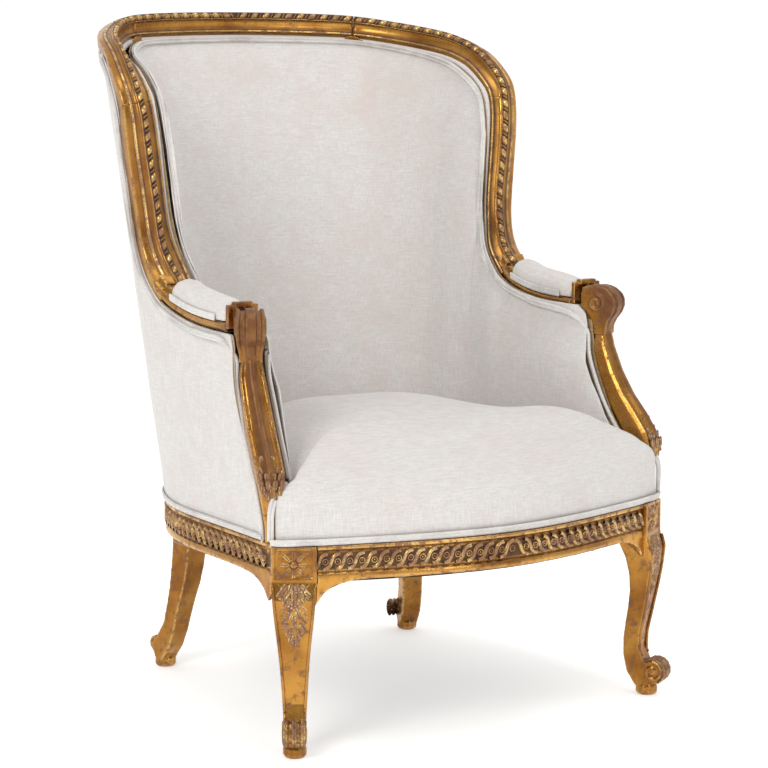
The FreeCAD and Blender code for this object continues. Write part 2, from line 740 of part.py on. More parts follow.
def long_straps():
    straps = []
    for i, x in enumerate(long_x):
        front = -385 + (x / 187.0) ** 2 * 28
        back = 275 - (x / 187.0) ** 2 * 44
        middle = (front + back) / 2
        straps.append(strap(back - front, [y - middle for y in cross_y], i % 2 == 1, "y", V(x, middle, strap_z)))
    return Part.makeCompound(straps)


def spring(x, y, foot, height):
    """A waisted coil spring of square-cut wire."""
    steps = spring_turns * 5
    rings = []
    for i in range(steps + 1):
        a = 2 * math.pi * i / 5.0
        share_up = i / float(steps)
        r = spring_radius * (1 - 0.30 * math.sin(math.pi * share_up))
        z = foot + spring_wire / 2 + (height - spring_wire) * share_up
        out = V(math.cos(a), math.sin(a), 0)
        w = spring_wire / 2
        middle = V(x, y, z) + out * r
        rings.append([middle - out * w - V(0, 0, w), middle + out * w - V(0, 0, w), middle + out * w + V(0, 0, w), middle - out * w + V(0, 0, w)])
    return skin(rings)


def seat_springs():
    foot = rail_bottom + 0.4
    coils = []
    for y in (-190, -62, 54):
        for x in (-100, 0, 100):
            coils.append(spring(x, y, foot, 87 if x else 92))
    return Part.makeCompound(coils)


def seat_welt():
    """Band along the foot of the seat's front, from one arm support to the other."""
    half = [V(x, y, 0) for x, y in seat_outline[:7]]
    sections = []
    for i, p in enumerate(half):
        before = half[max(i - 1, 0)]
        after = half[min(i + 1, len(half) - 1)]
        along = (after - before).normalize() if i else V(1, 0, 0)
        out = V(along.y, -along.x, 0)
        base = p + out * 0.6 + V(0, 0, rail_top + 0.6)
        up = V(0, 0, welt_width) + out * 3.2
        sections.append([base, base + out * welt_thick * 0.75, base + out * welt_thick + up * 0.25, base + out * welt_thick * 0.7 + up * 0.5,
                         base + out * welt_thick + up * 0.75, base + out * welt_thick * 0.75 + up, base + up])
    left = [[mirror_point(p) for p in section] for section in sections[1:]]
    return skin(left[::-1] + sections)


def dust_cloth(neighbours):
    """Black cloth under the seat, cut out round the legs and the brackets."""
    edge = [front_plan.value(t) - away_from_sitter(front_plan, t) * 14.0 for t in (4.0, 5.0, 6.0, 7.0)]
    edge += [side_plan.value(t) - away_from_sitter(side_plan, t) * 14.0 for t in (0.9, 2.6, 3.4, 4.2, 5.0, 6.0, 7.0, 8.0, 9.0, 10.0)]
    whole = edge + [mirror_point(p) for p in edge[-2:0:-1]]
    sheet = flat_face([p + V(0, 0, strap_z - 1.4) for p in whole]).extrude(V(0, 0, 1.0))
    return largest(sheet.cut(neighbours))


# Hidden joinery: corner blocks, screws, dowels, the tack rail and the side uprights

block_height = 34.0
block_z = 258.0


def corner_block(neighbours):
    """Block across the corner behind the front leg, cut to fit the rails and the leg."""
    corners = [(186, -332), (262, -332), (318, -262), (306, -186), (276, -206), (206, -314)]
    shape = flat_face([V(x, y, block_z) for x, y in corners]).extrude(V(0, 0, block_height))
    return largest(shape.cut(neighbours))


def largest(shape):
    return max(shape.Solids, key=lambda solid: solid.Volume)


def tack_rail():
    """Curved rail low in the back, to which the inside and outside covers are tacked."""
    sections = []
    for x in spread(190.0, -190.0, 9):
        y = 263.0 - 50.0 * (x / 184.0) ** 2
        sections.append([V(x, y - 11, 352), V(x, y + 11, 352), V(x, y + 17, 392), V(x, y - 5, 392)])
    return skin(sections)


def side_upright(neighbours):
    """Upright inside the padding, from the side rail to the foot of the stile."""
    rings = []
    for x, y, z in [(289, 60, rail_top), (294, 58, 420), (303, 55, 540), (309, 50, 640)]:
        rings.append([V(x - 9, y - 15, z), V(x + 9, y - 15, z), V(x + 9, y + 15, z), V(x - 9, y + 15, z)])
    return largest(skin(rings).cut(neighbours))


def rod(middle, along, radius, length, sides=6):
    """A six-sided dowel or its hole, centred on its middle."""
    along = along.normalize()
    across = along.cross(V(0, 0, 1) if abs(along.z) < 0.9 else V(1, 0, 0)).normalize()
    up = along.cross(across)
    corners = []
    for i in range(sides):
        a = 2 * math.pi * i / sides
        corners.append(middle - along * (length / 2) + across * (radius * math.cos(a)) + up * (radius * math.sin(a)))
    return flat_face(corners).extrude(along * length)


def rim_joint(t):
    section = rim_section(t)
    middle = (section[0] + section[12] + section[14] + section[4]) * 0.25
    return middle, rope_line.tangent(t)[0]


def left_joints():
    """Middle and direction of every dowel on the sitter's left, with the length it has."""
    rear = side_plan.value(rear_joint) - away_from_sitter(side_plan, rear_joint) * 18.0
    sideways = V(math.cos(math.radians(die_angle)), math.sin(math.radians(die_angle)), 0)
    joints = []
    for z in (269.0, 288.0):
        joints.append((V(275, -318.5, z), sideways, dowel_length))
        joints.append((V(317.5, -266, z), V(0, 1, 0), dowel_length))
        joints.append((rear + V(0, 0, z), side_plan.tangent(rear_joint)[0], dowel_length))
    for t in (shoulder_end, crest_end):
        middle, along = rim_joint(t)
        joints.append((middle, along, 34.0))
    return joints


def dowels():
    rods = [rod(m, a, dowel_radius, length) for m, a, length in left_joints()]
    return Part.makeCompound(rods + [mirrored(r) for r in rods])


def dowel_holes():
    holes = [rod(m, a, dowel_radius + dowel_play, length + 2.0) for m, a, length in left_joints()]
    return holes


def left_screws(play=0.0):
    """Two countersunk screws through the corner block, one into each rail."""
    screws = []
    for x, y, way in ((226, -318, V(-0.25, -1, 0)), (292, -214, V(1, 0.1, 0))):
        head = V(x, y, block_z + block_height / 2) - way.normalize() * 2.0
        shank = rod(head + way.normalize() * 17.0, way, 2.2 + play, 30.0)
        screws.append(rod(head + way.normalize() * 1.0, way, 4.5 + play, 3.0).fuse(shank))
    return screws


# Assembly: each side is made once and mirrored

def make_all():
    holes = dowel_holes()
    room = behind_support()
    screw_holes = left_screws(0.1)
    parts["left_arm_support"] = arm_support()
    parts["left_front_leg"] = front_leg().cut([parts["left_arm_support"]] + holes)
    leg = parts["left_front_leg"].fuse(holes)
    front = front_rail()
    front = front.cut([leg, mirrored(leg)])
    parts["front_rail"] = largest(front).cut(screw_holes + [mirrored(s) for s in screw_holes])
    parts["left_side_rail"] = largest(side_rail().cut([leg, parts["left_arm_support"]])).cut(holes + screw_holes)
    parts["back_rail"] = back_rail().cut(holes + [mirrored(h) for h in holes])
    parts["left_corner_block"] = corner_block([leg, front, parts["left_side_rail"]]).cut(screw_holes)
    stile = back_stile()
    shoulder = rim_piece(shoulder_end + 0.006, crest_end - 0.006, 10)
    crest = crest_rail()
    parts["left_arm_rail"] = largest(arm_rail().cut([stile, parts["left_arm_support"]]))
    parts["left_side_upright"] = side_upright([stile, parts["left_arm_rail"]])
    parts["left_rear_leg"] = rear_leg([parts["left_side_rail"], parts["back_rail"], shoulder, crest] + holes)
    parts["left_back_stile"] = stile.cut(holes)
    parts["left_crest_shoulder"] = shoulder.cut(holes)
    parts["left_arm_pad"] = arm_pad()
    parts["left_arm_pad_welt"] = arm_pad_welt()
    for name in [n for n in parts if n.startswith("left_")]:
        parts[name.replace("left_", "right_")] = mirrored(parts[name])
    parts["crest_rail"] = crest.cut(holes + [mirrored(h) for h in holes])
    posts = [parts["left_rear_leg"], parts["right_rear_leg"]]
    parts["back_tack_rail"] = largest(tack_rail().cut(posts))
    parts["frame_dowels"] = dowels()
    screws = left_screws()
    parts["corner_screws"] = Part.makeCompound(screws + [mirrored(s) for s in screws])
    round_cloth = [parts[side + name] for side in ("left_", "right_") for name in ("front_leg", "rear_leg", "side_rail")]
    parts["dust_cloth"] = dust_cloth(round_cloth + [parts["front_rail"]])
    parts["cross_webbing"] = cross_straps()
    parts["long_webbing"] = long_straps()
    parts["seat_springs"] = seat_springs()
    parts["seat_hessian"] = seat_hessian()
    parts["seat_padding"] = seat_padding()
    parts["seat_cover"] = seat_cover()
    parts["seat_welt"] = seat_welt()
    parts["back_webbing"] = back_webbing()
    parts["inside_hessian"] = inside_hessian(room)
    parts["inside_padding"] = inside_padding(room)
    parts["inside_cover"] = inside_cover(room)
    parts["inside_welt"] = edge_band(inside_point, 1.0, 0.96, lambda v: inside_stuffing(v) + air + cloth, 0.9, half_round[1:])
    parts["outside_lining"] = outside_lining(room)
    parts["outside_cover"] = outside_cover(room)
    parts["outside_welt"] = edge_band(outside_point, 0.99, 0.7, steady(0.0), -1.0, half_round[1:])
    parts["foot_welt"] = edge_band(outside_point, 0.002, 0.04, steady(0.0), -0.8, [-0.6] + half_round[1:])


make_all()
middle_y = Part.makeCompound(list(parts.values())).BoundBox.Center.y
os.makedirs("parts", exist_ok=True)
for node, shape in parts.items():
    shape.translate(V(0, -middle_y, 0))
    shape.exportStep("parts/" + node + ".step")
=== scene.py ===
import math
import bpy
import bmesh
import numpy as np
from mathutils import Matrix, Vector, noise


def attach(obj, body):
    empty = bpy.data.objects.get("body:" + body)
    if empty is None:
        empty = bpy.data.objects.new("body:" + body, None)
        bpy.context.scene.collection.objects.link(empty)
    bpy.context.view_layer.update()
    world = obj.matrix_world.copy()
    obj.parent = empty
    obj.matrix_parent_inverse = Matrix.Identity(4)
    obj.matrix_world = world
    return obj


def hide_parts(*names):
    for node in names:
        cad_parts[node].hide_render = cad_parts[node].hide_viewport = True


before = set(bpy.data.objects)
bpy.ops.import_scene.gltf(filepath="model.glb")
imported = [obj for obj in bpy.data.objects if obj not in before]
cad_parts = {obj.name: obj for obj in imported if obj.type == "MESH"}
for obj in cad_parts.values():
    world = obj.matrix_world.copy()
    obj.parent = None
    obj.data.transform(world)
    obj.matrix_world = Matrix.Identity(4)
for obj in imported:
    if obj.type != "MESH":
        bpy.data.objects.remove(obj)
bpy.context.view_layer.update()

# Camera, studio light and floor.
# A long lens stands a little above the seat, to the right of the sitter. The room is brighter behind the chair than
# behind the camera, so that the gilding has something dark to mirror.

def aim(thing, place, target):
    thing.location = place
    thing.rotation_euler = (Vector(target) - Vector(place)).to_track_quat("-Z", "Y").to_euler()


def linked(name, data):
    piece = bpy.data.objects.new(name, data)
    bpy.context.scene.collection.objects.link(piece)
    return piece


camera = linked("camera", bpy.data.cameras.new("camera"))
aim(camera, (-2.0077, -3.2233, 1.0034), (0, -0.076, 0.4735))
camera.data.lens = 115.3
camera.data.sensor_width = 36.0
bpy.context.scene.camera = camera
bpy.context.scene.view_settings.view_transform = "Standard"


def add(tree, kind, inputs=None, **settings):
    """A node with its settings; an input is a value or the socket that feeds it."""
    node = tree.nodes.new(kind)
    for key, value in settings.items():
        setattr(node, key, value)
    for key, value in (inputs or {}).items():
        if isinstance(value, bpy.types.NodeSocket):
            tree.links.new(value, node.inputs[key])
        else:
            node.inputs[key].default_value = value
    return node


def sums(tree, operation, a, b=0.0, c=None, clamp=False):
    inputs = {0: a, 1: b}
    if c is not None:
        inputs[2] = c
    return add(tree, "ShaderNodeMath", inputs, operation=operation, use_clamp=clamp).outputs[0]


def ramped(tree, value, low, high, to_low=0.0, to_high=1.0):
    return add(tree, "ShaderNodeMapRange", {0: value, 1: low, 2: high, 3: to_low, 4: to_high}, clamp=True).outputs[0]


world = bpy.data.worlds.new("studio")
bpy.context.scene.world = world
world.use_nodes = True
sky = world.node_tree
sky.nodes["Background"].inputs["Color"].default_value = (1.0, 0.995, 0.985, 1)
toward = add(sky, "ShaderNodeTexCoord").outputs["Generated"]
past_chair = add(sky, "ShaderNodeVectorMath", {0: toward, 1: (0.50, 0.84, 0.2)}, operation="DOT_PRODUCT").outputs["Value"]
fade = ramped(sky, past_chair, -0.35, 0.72, 0.30, 1.04)
upwards = add(sky, "ShaderNodeSeparateXYZ", {0: toward}).outputs["Z"]
horizon = ramped(sky, upwards, 0.09, 0.20, 1.04, 0.0)
sky.links.new(sums(sky, "MAXIMUM", fade, horizon), sky.nodes["Background"].inputs["Strength"])


def soft_light(name, place, target, size, power, tint=(1, 1, 1)):
    lamp = bpy.data.lights.new(name, "AREA")
    lamp.shape = "RECTANGLE"
    lamp.size, lamp.size_y = size
    lamp.energy = power
    lamp.color = tint
    aim(linked(name, lamp), place, target)


soft_light("window_left", (-2.6, -1.6, 2.3), (0, 0, 0.6), (1.3, 1.5), 50, (1.0, 0.985, 0.96))
soft_light("overhead", (0.4, -0.8, 3.0), (0, 0, 0.4), (1.8, 1.8), 22)
soft_light("front_strip", (0.5, -3.6, 1.6), (0, 0, 0.5), (0.5, 1.6), 14, (1.0, 0.98, 0.95))


def new_material(name, values):
    """A material with the given values on its main shader."""
    material = bpy.data.materials.new(name)
    material.use_nodes = True
    shader = material.node_tree.nodes["Principled BSDF"]
    for key, value in values.items():
        shader.inputs[key].default_value = value
    return material, material.node_tree, shader


bpy.ops.mesh.primitive_plane_add(size=30)
floor = bpy.context.object
floor.name = "floor"
floor.data.materials.append(new_material("pale floor", {
    "Base Color": (0.93, 0.93, 0.92, 1), "Roughness": 0.8,
    "Emission Color": (1.0, 0.995, 0.99, 1), "Emission Strength": 0.42})[0])


# Finishes: worn water gilding on carved beech.
# Burnished gold leaf over red-brown bole, rubbed through on the edges and dark with old wax in the hollows.

def mixed(tree, factor, first, second):
    return add(tree, "ShaderNodeMix", {0: factor, 6: first, 7: second}, data_type="RGBA").outputs[2]


def clouds(tree, where, scale, detail=4.0, rough=0.55, distortion=0.0):
    settings = {"Vector": where, "Scale": scale, "Detail": detail, "Roughness": rough, "Distortion": distortion}
    return add(tree, "ShaderNodeTexNoise", settings).outputs["Fac"]


def stored(tree, label):
    """A share that the mesh holds for each point: recess, proud or handled."""
    return add(tree, "ShaderNodeAttribute", attribute_name=label).outputs["Fac"]


def shader_group(name, inputs, outputs):
    """A node group with its named sockets; gives the group, its input node and its output node."""
    group = bpy.data.node_groups.new(name, "ShaderNodeTree")
    for socket, kind, value in inputs:
        made = group.interface.new_socket(name=socket, in_out="INPUT", socket_type=kind)
        made.default_value = value
    for socket, kind in outputs:
        group.interface.new_socket(name=socket, in_out="OUTPUT", socket_type=kind)
    return group, group.nodes.new("NodeGroupInput"), group.nodes.new("NodeGroupOutput")


colour, number, vector = "NodeSocketColor", "NodeSocketFloat", "NodeSocketVector"


def gilding_group():
    group, given, result = shader_group("worn gilding", [
        ("Gold", colour, (0.58, 0.290, 0.060, 1)), ("Deep gold", colour, (0.29, 0.110, 0.018, 1)),
        ("Grime", colour, (0.045, 0.018, 0.008, 1)), ("Bole", colour, (0.20, 0.070, 0.030, 1)),
        ("Gesso", colour, (0.62, 0.50, 0.36, 1)), ("Rubbing", number, 0.4), ("Wax", number, 0.35)],
        [("Color", colour), ("Roughness", number), ("Metallic", number), ("Normal", vector)])
    given = given.outputs

    def times(a, b):
        return sums(group, "MULTIPLY", a, b)

    def plus(a, b, clamp=False):
        return sums(group, "ADD", a, b, clamp=clamp)

    where = add(group, "ShaderNodeTexCoord").outputs["Object"]
    recess, proud, handled_share = stored(group, "recess"), stored(group, "proud"), stored(group, "handled")
    broad = clouds(group, where, 11.0, 3.0)
    flecks = clouds(group, where, 75.0, 6.0, 0.62)
    fine = clouds(group, where, 420.0, 4.0, 0.6)

    # Leaf that varies in depth and catches light on the arrises
    tone = mixed(group, ramped(group, broad, 0.34, 0.66), given["Deep gold"], given["Gold"])
    tone = mixed(group, times(proud, 0.45), tone, (0.92, 0.68, 0.30, 1))
    # Wax in flecks and in every hollow
    stain = times(ramped(group, flecks, 0.50, 0.74), given["Wax"])
    hollow = times(recess, ramped(group, flecks, 0.30, 0.60, 0.82, 1.0))
    dirty = plus(stain, hollow, clamp=True)
    # Leaf rubbed through to the bole, and chips down to the gesso
    rub = sums(group, "MULTIPLY_ADD", proud, 0.16, times(given["Rubbing"], 0.13))
    bare = ramped(group, plus(flecks, rub), 0.665, 0.715)
    chipped = ramped(group, sums(group, "MULTIPLY_ADD", proud, 0.13, fine), 0.66, 0.70)
    chipped = times(times(chipped, ramped(group, broad, 0.40, 0.58)), given["Rubbing"])
    # Brown where hands have lain
    mottle = ramped(group, sums(group, "MULTIPLY_ADD", fine, 0.5, flecks), 0.55, 0.82, 0.96, 0.55)
    browned = times(handled_share, mottle)

    shown_colour = mixed(group, dirty, tone, given["Grime"])
    shown_colour = mixed(group, times(bare, 0.75), shown_colour, given["Bole"])
    shown_colour = mixed(group, chipped, shown_colour, given["Gesso"])
    shown_colour = mixed(group, browned, shown_colour, (0.115, 0.040, 0.016, 1))
    dull = plus(dirty, plus(times(browned, 0.7), plus(bare, chipped)), clamp=True)
    relief = sums(group, "MULTIPLY_ADD", fine, 0.35, flecks)
    relief = sums(group, "SUBTRACT", relief, times(bare, 0.35))
    bump = add(group, "ShaderNodeBump", {"Strength": 0.32, "Distance": 0.0006, "Height": relief})
    group.links.new(shown_colour, result.inputs["Color"])
    group.links.new(ramped(group, dull, 0.0, 1.0, 0.25, 0.58), result.inputs["Roughness"])
    group.links.new(ramped(group, dull, 0.0, 1.0, 0.92, 0.12), result.inputs["Metallic"])
    group.links.new(bump.outputs[0], result.inputs["Normal"])
    return group


def finish_from(group, name, own, values):
    """A material that takes its colour and relief from a shared group, with this finish's own values."""
    material, tree, shader = new_material(name, values)
    shared = add(tree, "ShaderNodeGroup", own, node_tree=group)
    for output in shared.outputs:
        entry = "Base Color" if output.name == "Color" else output.name
        tree.links.new(output, shader.inputs[entry])
    return material


gilding = gilding_group()
bright_gilt = finish_from(gilding, "burnished gilding", {"Rubbing": 0.3, "Wax": 0.35}, {})
plain_gilt = finish_from(gilding, "gilding", {
    "Rubbing": 0.5, "Wax": 0.6, "Gold": (0.50, 0.245, 0.050, 1), "Deep gold": (0.245, 0.092, 0.016, 1)}, {})
tan_gilt = finish_from(gilding, "dull gilding", {
    "Rubbing": 0.6, "Wax": 0.6, "Gold": (0.46, 0.235, 0.066, 1), "Deep gold": (0.235, 0.092, 0.022, 1)}, {})
brown_gilt = finish_from(gilding, "handled gilding", {
    "Rubbing": 1.0, "Wax": 0.9, "Gold": (0.40, 0.22, 0.07, 1), "Deep gold": (0.20, 0.085, 0.028, 1)}, {})


# Gilt rim: back stiles, shoulders and crest rail.
# One carved moulding runs from the arm pads up and over the back: an inner fillet, a broad cove, the bed of the
# twisted rope, an outer cove with a bead, and a plain flat along the side.

back_by = 14.998  # the assembly stands this far behind the part's own middle, in millimetres
millimetre = 0.001
to_right = np.array([-1, 1, 1])


def through(points):
    """A smooth curve through its points, read by the point's number."""
    p = np.array(points, float)
    n = len(p)
    system = np.eye(n)
    pull = np.zeros_like(p)
    for i in range(1, n - 1):
        system[i, i - 1:i + 2] = 1, 4, 1
        pull[i] = 6 * (p[i + 1] - 2 * p[i] + p[i - 1])
    bend = np.linalg.solve(system, pull)

    def at(t):
        i = int(min(max(math.floor(t), 0), n - 2))
        f = t - i
        g = 1 - f
        return p[i] * g + p[i + 1] * f + (g ** 3 - g) * bend[i] / 6 + (f ** 3 - f) * bend[i + 1] / 6
    return at


def unit(v):
    v = np.asarray(v, float)
    return v / max(np.linalg.norm(v), 1e-9)


def heading(curve, t):
    return unit(curve(t + 0.02) - curve(t - 0.02))


def mark_points(mesh, **shares):
    """Stores a share from 0 to 1 for each point: hollow (recess), arris (proud) or worn by hands (handled)."""
    for label, values in shares.items():
        mark = mesh.attributes.get(label) or mesh.attributes.new(label, "FLOAT", "POINT")
        if values is not None:
            mark.data.foreach_set("value", np.asarray(values, np.float32))


def built(name, points, faces, recess, proud):
    """A smooth mesh from points in millimetres, faces outwards, with its marks."""
    mesh = bpy.data.meshes.new(name)
    mesh.from_pydata((points * millimetre).tolist(), [], [tuple(f) for f in faces])
    mark_points(mesh, recess=recess, proud=proud)
    work = bmesh.new()
    work.from_mesh(mesh)
    bmesh.ops.recalc_face_normals(work, faces=work.faces)
    work.to_mesh(mesh)
    work.free()
    mesh.polygons.foreach_set("use_smooth", [True] * len(mesh.polygons))
    return mesh


def shape(name, points, faces, material, recess=None, proud=None, mirror=False):
    p = np.array(points, float)
    if mirror:
        p[:, 0] *= -1
    p[:, 1] -= back_by
    piece = linked(name, built(name, p, faces, recess, proud))
    piece.data.materials.append(material)
    return piece


def ring_faces(rings, around, open_round=False, caps=True):
    """Quads between rings of equal size, and a flat face on each end."""
    faces = []
    for i in range(rings - 1):
        for j in range(around - (1 if open_round else 0)):
            k = (j + 1) % around
            faces.append((i * around + j, i * around + k, (i + 1) * around + k, (i + 1) * around + j))
    if caps:
        faces.append(tuple(range(around))[::-1])
        faces.append(tuple((rings - 1) * around + j for j in range(around)))
    return faces


def placed(piece, slot, *nodes):
    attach(piece, "root")
    if nodes:
        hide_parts(*nodes)
    return piece


rope_line = through([
    (304, 16, 637), (305, 50, 664), (310, 70, 702), (314, 78, 756), (324, 80, 828), (329, 84, 882), (333, 96, 918),
    (332, 117, 945), (327, 150, 972), (320, 184, 990), (300, 238, 1008), (241, 327, 1026), (163, 372, 1035),
    (0, 398, 1038), (-163, 372, 1035)])
inner_line = through([
    (280, 36, 629), (281, 62, 664), (290, 79, 704), (296, 87, 752), (303, 90, 828), (308, 95, 880), (309, 106, 912),
    (308, 127, 933), (306, 156, 953), (303, 188, 966), (289, 242, 980), (235, 329, 997), (160, 375, 1004),
    (0, 401, 1007), (-160, 375, 1004)])
outer_line = through([
    (337, 26, 628), (339, 61, 660), (341, 81, 700), (346, 87, 755), (355, 91, 828), (359, 95, 882), (361, 106, 920),
    (360, 127, 946), (355, 158, 971), (347, 188, 986), (325, 250, 1004), (258, 345, 1023), (172, 394, 1032),
    (0, 422, 1035), (-172, 394, 1032)])
back_line = through([
    (-2, 10, -14), (-2, 16, -12), (-3, 22, -5), (-4, 24, -1), (-4, 24.5, 0), (-4, 24, -2), (-5, 23, -4),
    (-6, 20, -8), (-8, 18, -10), (-9, 16, -12), (-8, 14, -14), (-6, 13, -15), (-3, 12, -16), (0, 12, -16.5),
    (3, 12, -16)])

# Share towards the inner edge, share towards the outer edge, how dark the hollow is, how rubbed the arris is
rim_moulding = [
    (1.00, 0.00, 0.2, 0.2), (0.97, -0.045, 0, 0.8), (0.92, -0.07, 0, 1.0), (0.87, -0.05, 0, 0.5),
    (0.852, 0.0, 0.9, 0), (0.82, 0.03, 0.95, 0), (0.76, 0.07, 0.35, 0), (0.66, 0.108, 0.15, 0),
    (0.55, 0.125, 0.05, 0), (0.45, 0.108, 0, 0), (0.36, 0.07, 0, 0.1), (0.30, 0.02, 0, 0.3),
    (0.275, -0.03, 0, 0.8), (0.25, -0.05, 0, 0.8), (0.236, -0.02, 0.8, 0), (0.22, 0.035, 1, 0),
    (0.12, 0.06, 1, 0), (0.0, 0.065, 1, 0), (-0.07, 0.085, 1, 0), (-0.092, 0.11, 0.8, 0),
    (-0.088, 0.145, 0, 0.7), (-0.05, 0.185, 0, 0.3), (0.02, 0.245, 0.25, 0), (0.065, 0.32, 0.3, 0),
    (0.085, 0.40, 0.25, 0), (0.07, 0.455, 0.5, 0), (0.035, 0.485, 0.9, 0), (-0.02, 0.515, 0, 0.8),
    (-0.052, 0.565, 0, 1.0), (-0.03, 0.62, 0, 0.8), (0.018, 0.65, 0.9, 0), (0.03, 0.68, 0.5, 0),
    (0.04, 0.76, 0, 0), (0.05, 0.88, 0, 0), (0.055, 0.97, 0, 0.4), (0.07, 1.0, 0, 0.8)]
side_shares = (0.2, 0.5, 0.8, 0.95)
rim_recess = [m[2] for m in rim_moulding] + [0, 0.1, 0.1, 0, 0, 0, 0.2]
rim_proud = [m[3] for m in rim_moulding] + [0.2, 0, 0, 0.2, 0, 0, 0]


def rim_frame(t):
    """Crown of the rim, its way along, and its ways to the inner edge, the outer edge and the back."""
    along = heading(rope_line, t)
    crown = rope_line(t)
    ways = (inner_line(t) - crown, outer_line(t) - crown, back_line(t))
    return (crown, along, *(v - along * np.dot(v, along) for v in ways))


def rim_ring(t):
    crown, _, inwards, outwards, back = rim_frame(t)
    face = [crown + inwards * a + outwards * b for a, b, _, _ in rim_moulding]
    side = [crown + outwards + back * s for s in side_shares]
    rear = [crown + inwards * 0.5 + outwards * 0.5 + back, crown + inwards + back * 0.75, crown + inwards + back * 0.3]
    return face + side + rear


def rim_piece(name, rings, node, mirror=False):
    count, around = len(rings), len(rings[0])
    piece = shape(name, np.concatenate(rings), ring_faces(count, around), bright_gilt,
                  rim_recess * count, rim_proud * count, mirror=mirror)
    return placed(piece, "gilt_wood", node)


stile_top, shoulder_top, crest_middle = 5.6, 11.55, 13.0
joint_gap = 0.008  # hairline of each joint, half of it on either side
stile_rings = [rim_ring(t) for t in np.linspace(0.0, stile_top - joint_gap, 90)]
shoulder_rings = [rim_ring(t) for t in np.linspace(stile_top + joint_gap, shoulder_top - joint_gap, 90)]
half_crest = [rim_ring(t) for t in np.linspace(shoulder_top + joint_gap, crest_middle, 25)]
for side, mirror in (("left", False), ("right", True)):
    rim_piece(side + "_stile_moulding", stile_rings, side + "_back_stile", mirror)
    rim_piece(side + "_shoulder_moulding", shoulder_rings, side + "_crest_shoulder", mirror)
rim_piece("crest_moulding", half_crest + [[p * to_right for p in ring] for ring in half_crest[-2::-1]], "crest_rail")


# Twisted rope on the rim.
# Carved as a ribbon wound round a stick: a wide slanting turn, then a narrow one between two deep cuts. The two
# sides slant opposite ways and meet over the middle of the crest.

def carving_tree():
    """Sets one carved unit at each marked point, turned along the run and square to the wood."""
    tree = bpy.data.node_groups.new("carved run", "GeometryNodeTree")
    for label in ("Geometry", "Object", "Material"):
        tree.interface.new_socket(name=label, in_out="INPUT", socket_type="NodeSocket" + label)
    tree.interface.new_socket(name="Geometry", in_out="OUTPUT", socket_type="NodeSocketGeometry")
    given, result = tree.nodes.new("NodeGroupInput").outputs, tree.nodes.new("NodeGroupOutput")

    def mark_of(label):
        return add(tree, "GeometryNodeInputNamedAttribute", {"Name": label}, data_type="FLOAT_VECTOR").outputs[0]

    turn = add(tree, "FunctionNodeAlignRotationToVector", {"Vector": mark_of("face")}, axis="Z").outputs[0]
    turn = add(tree, "FunctionNodeAlignRotationToVector", {"Rotation": turn, "Vector": mark_of("along")},
               axis="X", pivot_axis="Z").outputs[0]
    carved = add(tree, "GeometryNodeObjectInfo", {"Object": given["Object"]}).outputs["Geometry"]
    settings = {"Points": given["Geometry"], "Instance": carved, "Rotation": turn, "Scale": mark_of("scale")}
    units = add(tree, "GeometryNodeInstanceOnPoints", settings).outputs[0]
    real = add(tree, "GeometryNodeRealizeInstances", {0: units}).outputs[0]
    finished = add(tree, "GeometryNodeSetMaterial", {"Geometry": real, "Material": given["Material"]}).outputs[0]
    tree.links.new(finished, result.inputs[0])
    return tree


carved_run = carving_tree()


def carve(name, unit_shape, places, material):
    """places: point, way along, way out of the wood and scale of each unit, in millimetres."""
    mesh = bpy.data.meshes.new(name + "_points")
    points = (np.array([p[0] for p in places]) - (0, back_by, 0)) * millimetre
    mesh.from_pydata(points.tolist(), [], [])
    labels = ("along", "face", "scale")
    for column, label in enumerate(labels, 1):
        values = np.array([np.broadcast_to(p[column], 3) for p in places], np.float32)
        mesh.attributes.new(label, "FLOAT_VECTOR", "POINT").data.foreach_set("vector", values.ravel())
    holder = linked(name + "_points", mesh)
    modifier = holder.modifiers.new("carving", "NODES")
    modifier.node_group = carved_run
    values = {"Object": unit_shape, "Material": material}
    for item in carved_run.interface.items_tree:
        if item.name in values:
            modifier[item.identifier] = values[item.name]
    holder.update_tag()
    bpy.context.view_layer.update()
    seen = bpy.context.evaluated_depsgraph_get()
    baked = bpy.data.meshes.new_from_object(holder.evaluated_get(seen), depsgraph=seen)
    baked.name = name
    for label in labels:
        if label in baked.attributes:
            baked.attributes.remove(baked.attributes[label])
    bpy.data.objects.remove(holder)
    baked.polygons.foreach_set("use_smooth", [True] * len(baked.polygons))
    return placed(linked(name, baked), "gilt_wood")


def unit_of(name, points, faces, recess, proud):
    """One unit of carving about its own middle: X along, Y across, Z out of the wood."""
    return bpy.data.objects.new(name, built(name, np.array(points, float), faces, recess, proud))


leaf_sink = 1.5  # how far the edge of a rope turn or leaflet goes into the wood


def pillow(length, width, height, slant, at, dark=0.0, columns=5):
    """A slanting raised block with a rounded top, for the turns of the rope."""
    points, recess, proud = [], [], []
    rows = 4
    for i in range(columns + 1):
        u = -1 + 2 * i / columns
        for j in range(rows + 1):
            v = -1 + 2 * j / rows
            rise = (1 - u ** 4) * (1 - 0.8 * abs(v) ** 2.4)
            edge = max(abs(u), abs(v)) == 1
            x = at + u * length / 2 + v * width / 2 * slant
            points.append((x, v * width / 2, -leaf_sink if edge else height * rise))
            recess.append(0.9 if edge else dark)
            proud.append(0.0 if edge else 0.9 * rise * (1 - dark))
    return points, ring_faces(columns + 1, rows + 1, open_round=True, caps=False), recess, proud


def joined(*blocks):
    points, faces, recess, proud = [], [], [], []
    for p, f, r, w in blocks:
        start = len(points)
        points += list(p)
        faces += [tuple(k + start for k in face) for face in f]
        recess += list(r)
        proud += list(w)
    return points, faces, recess, proud


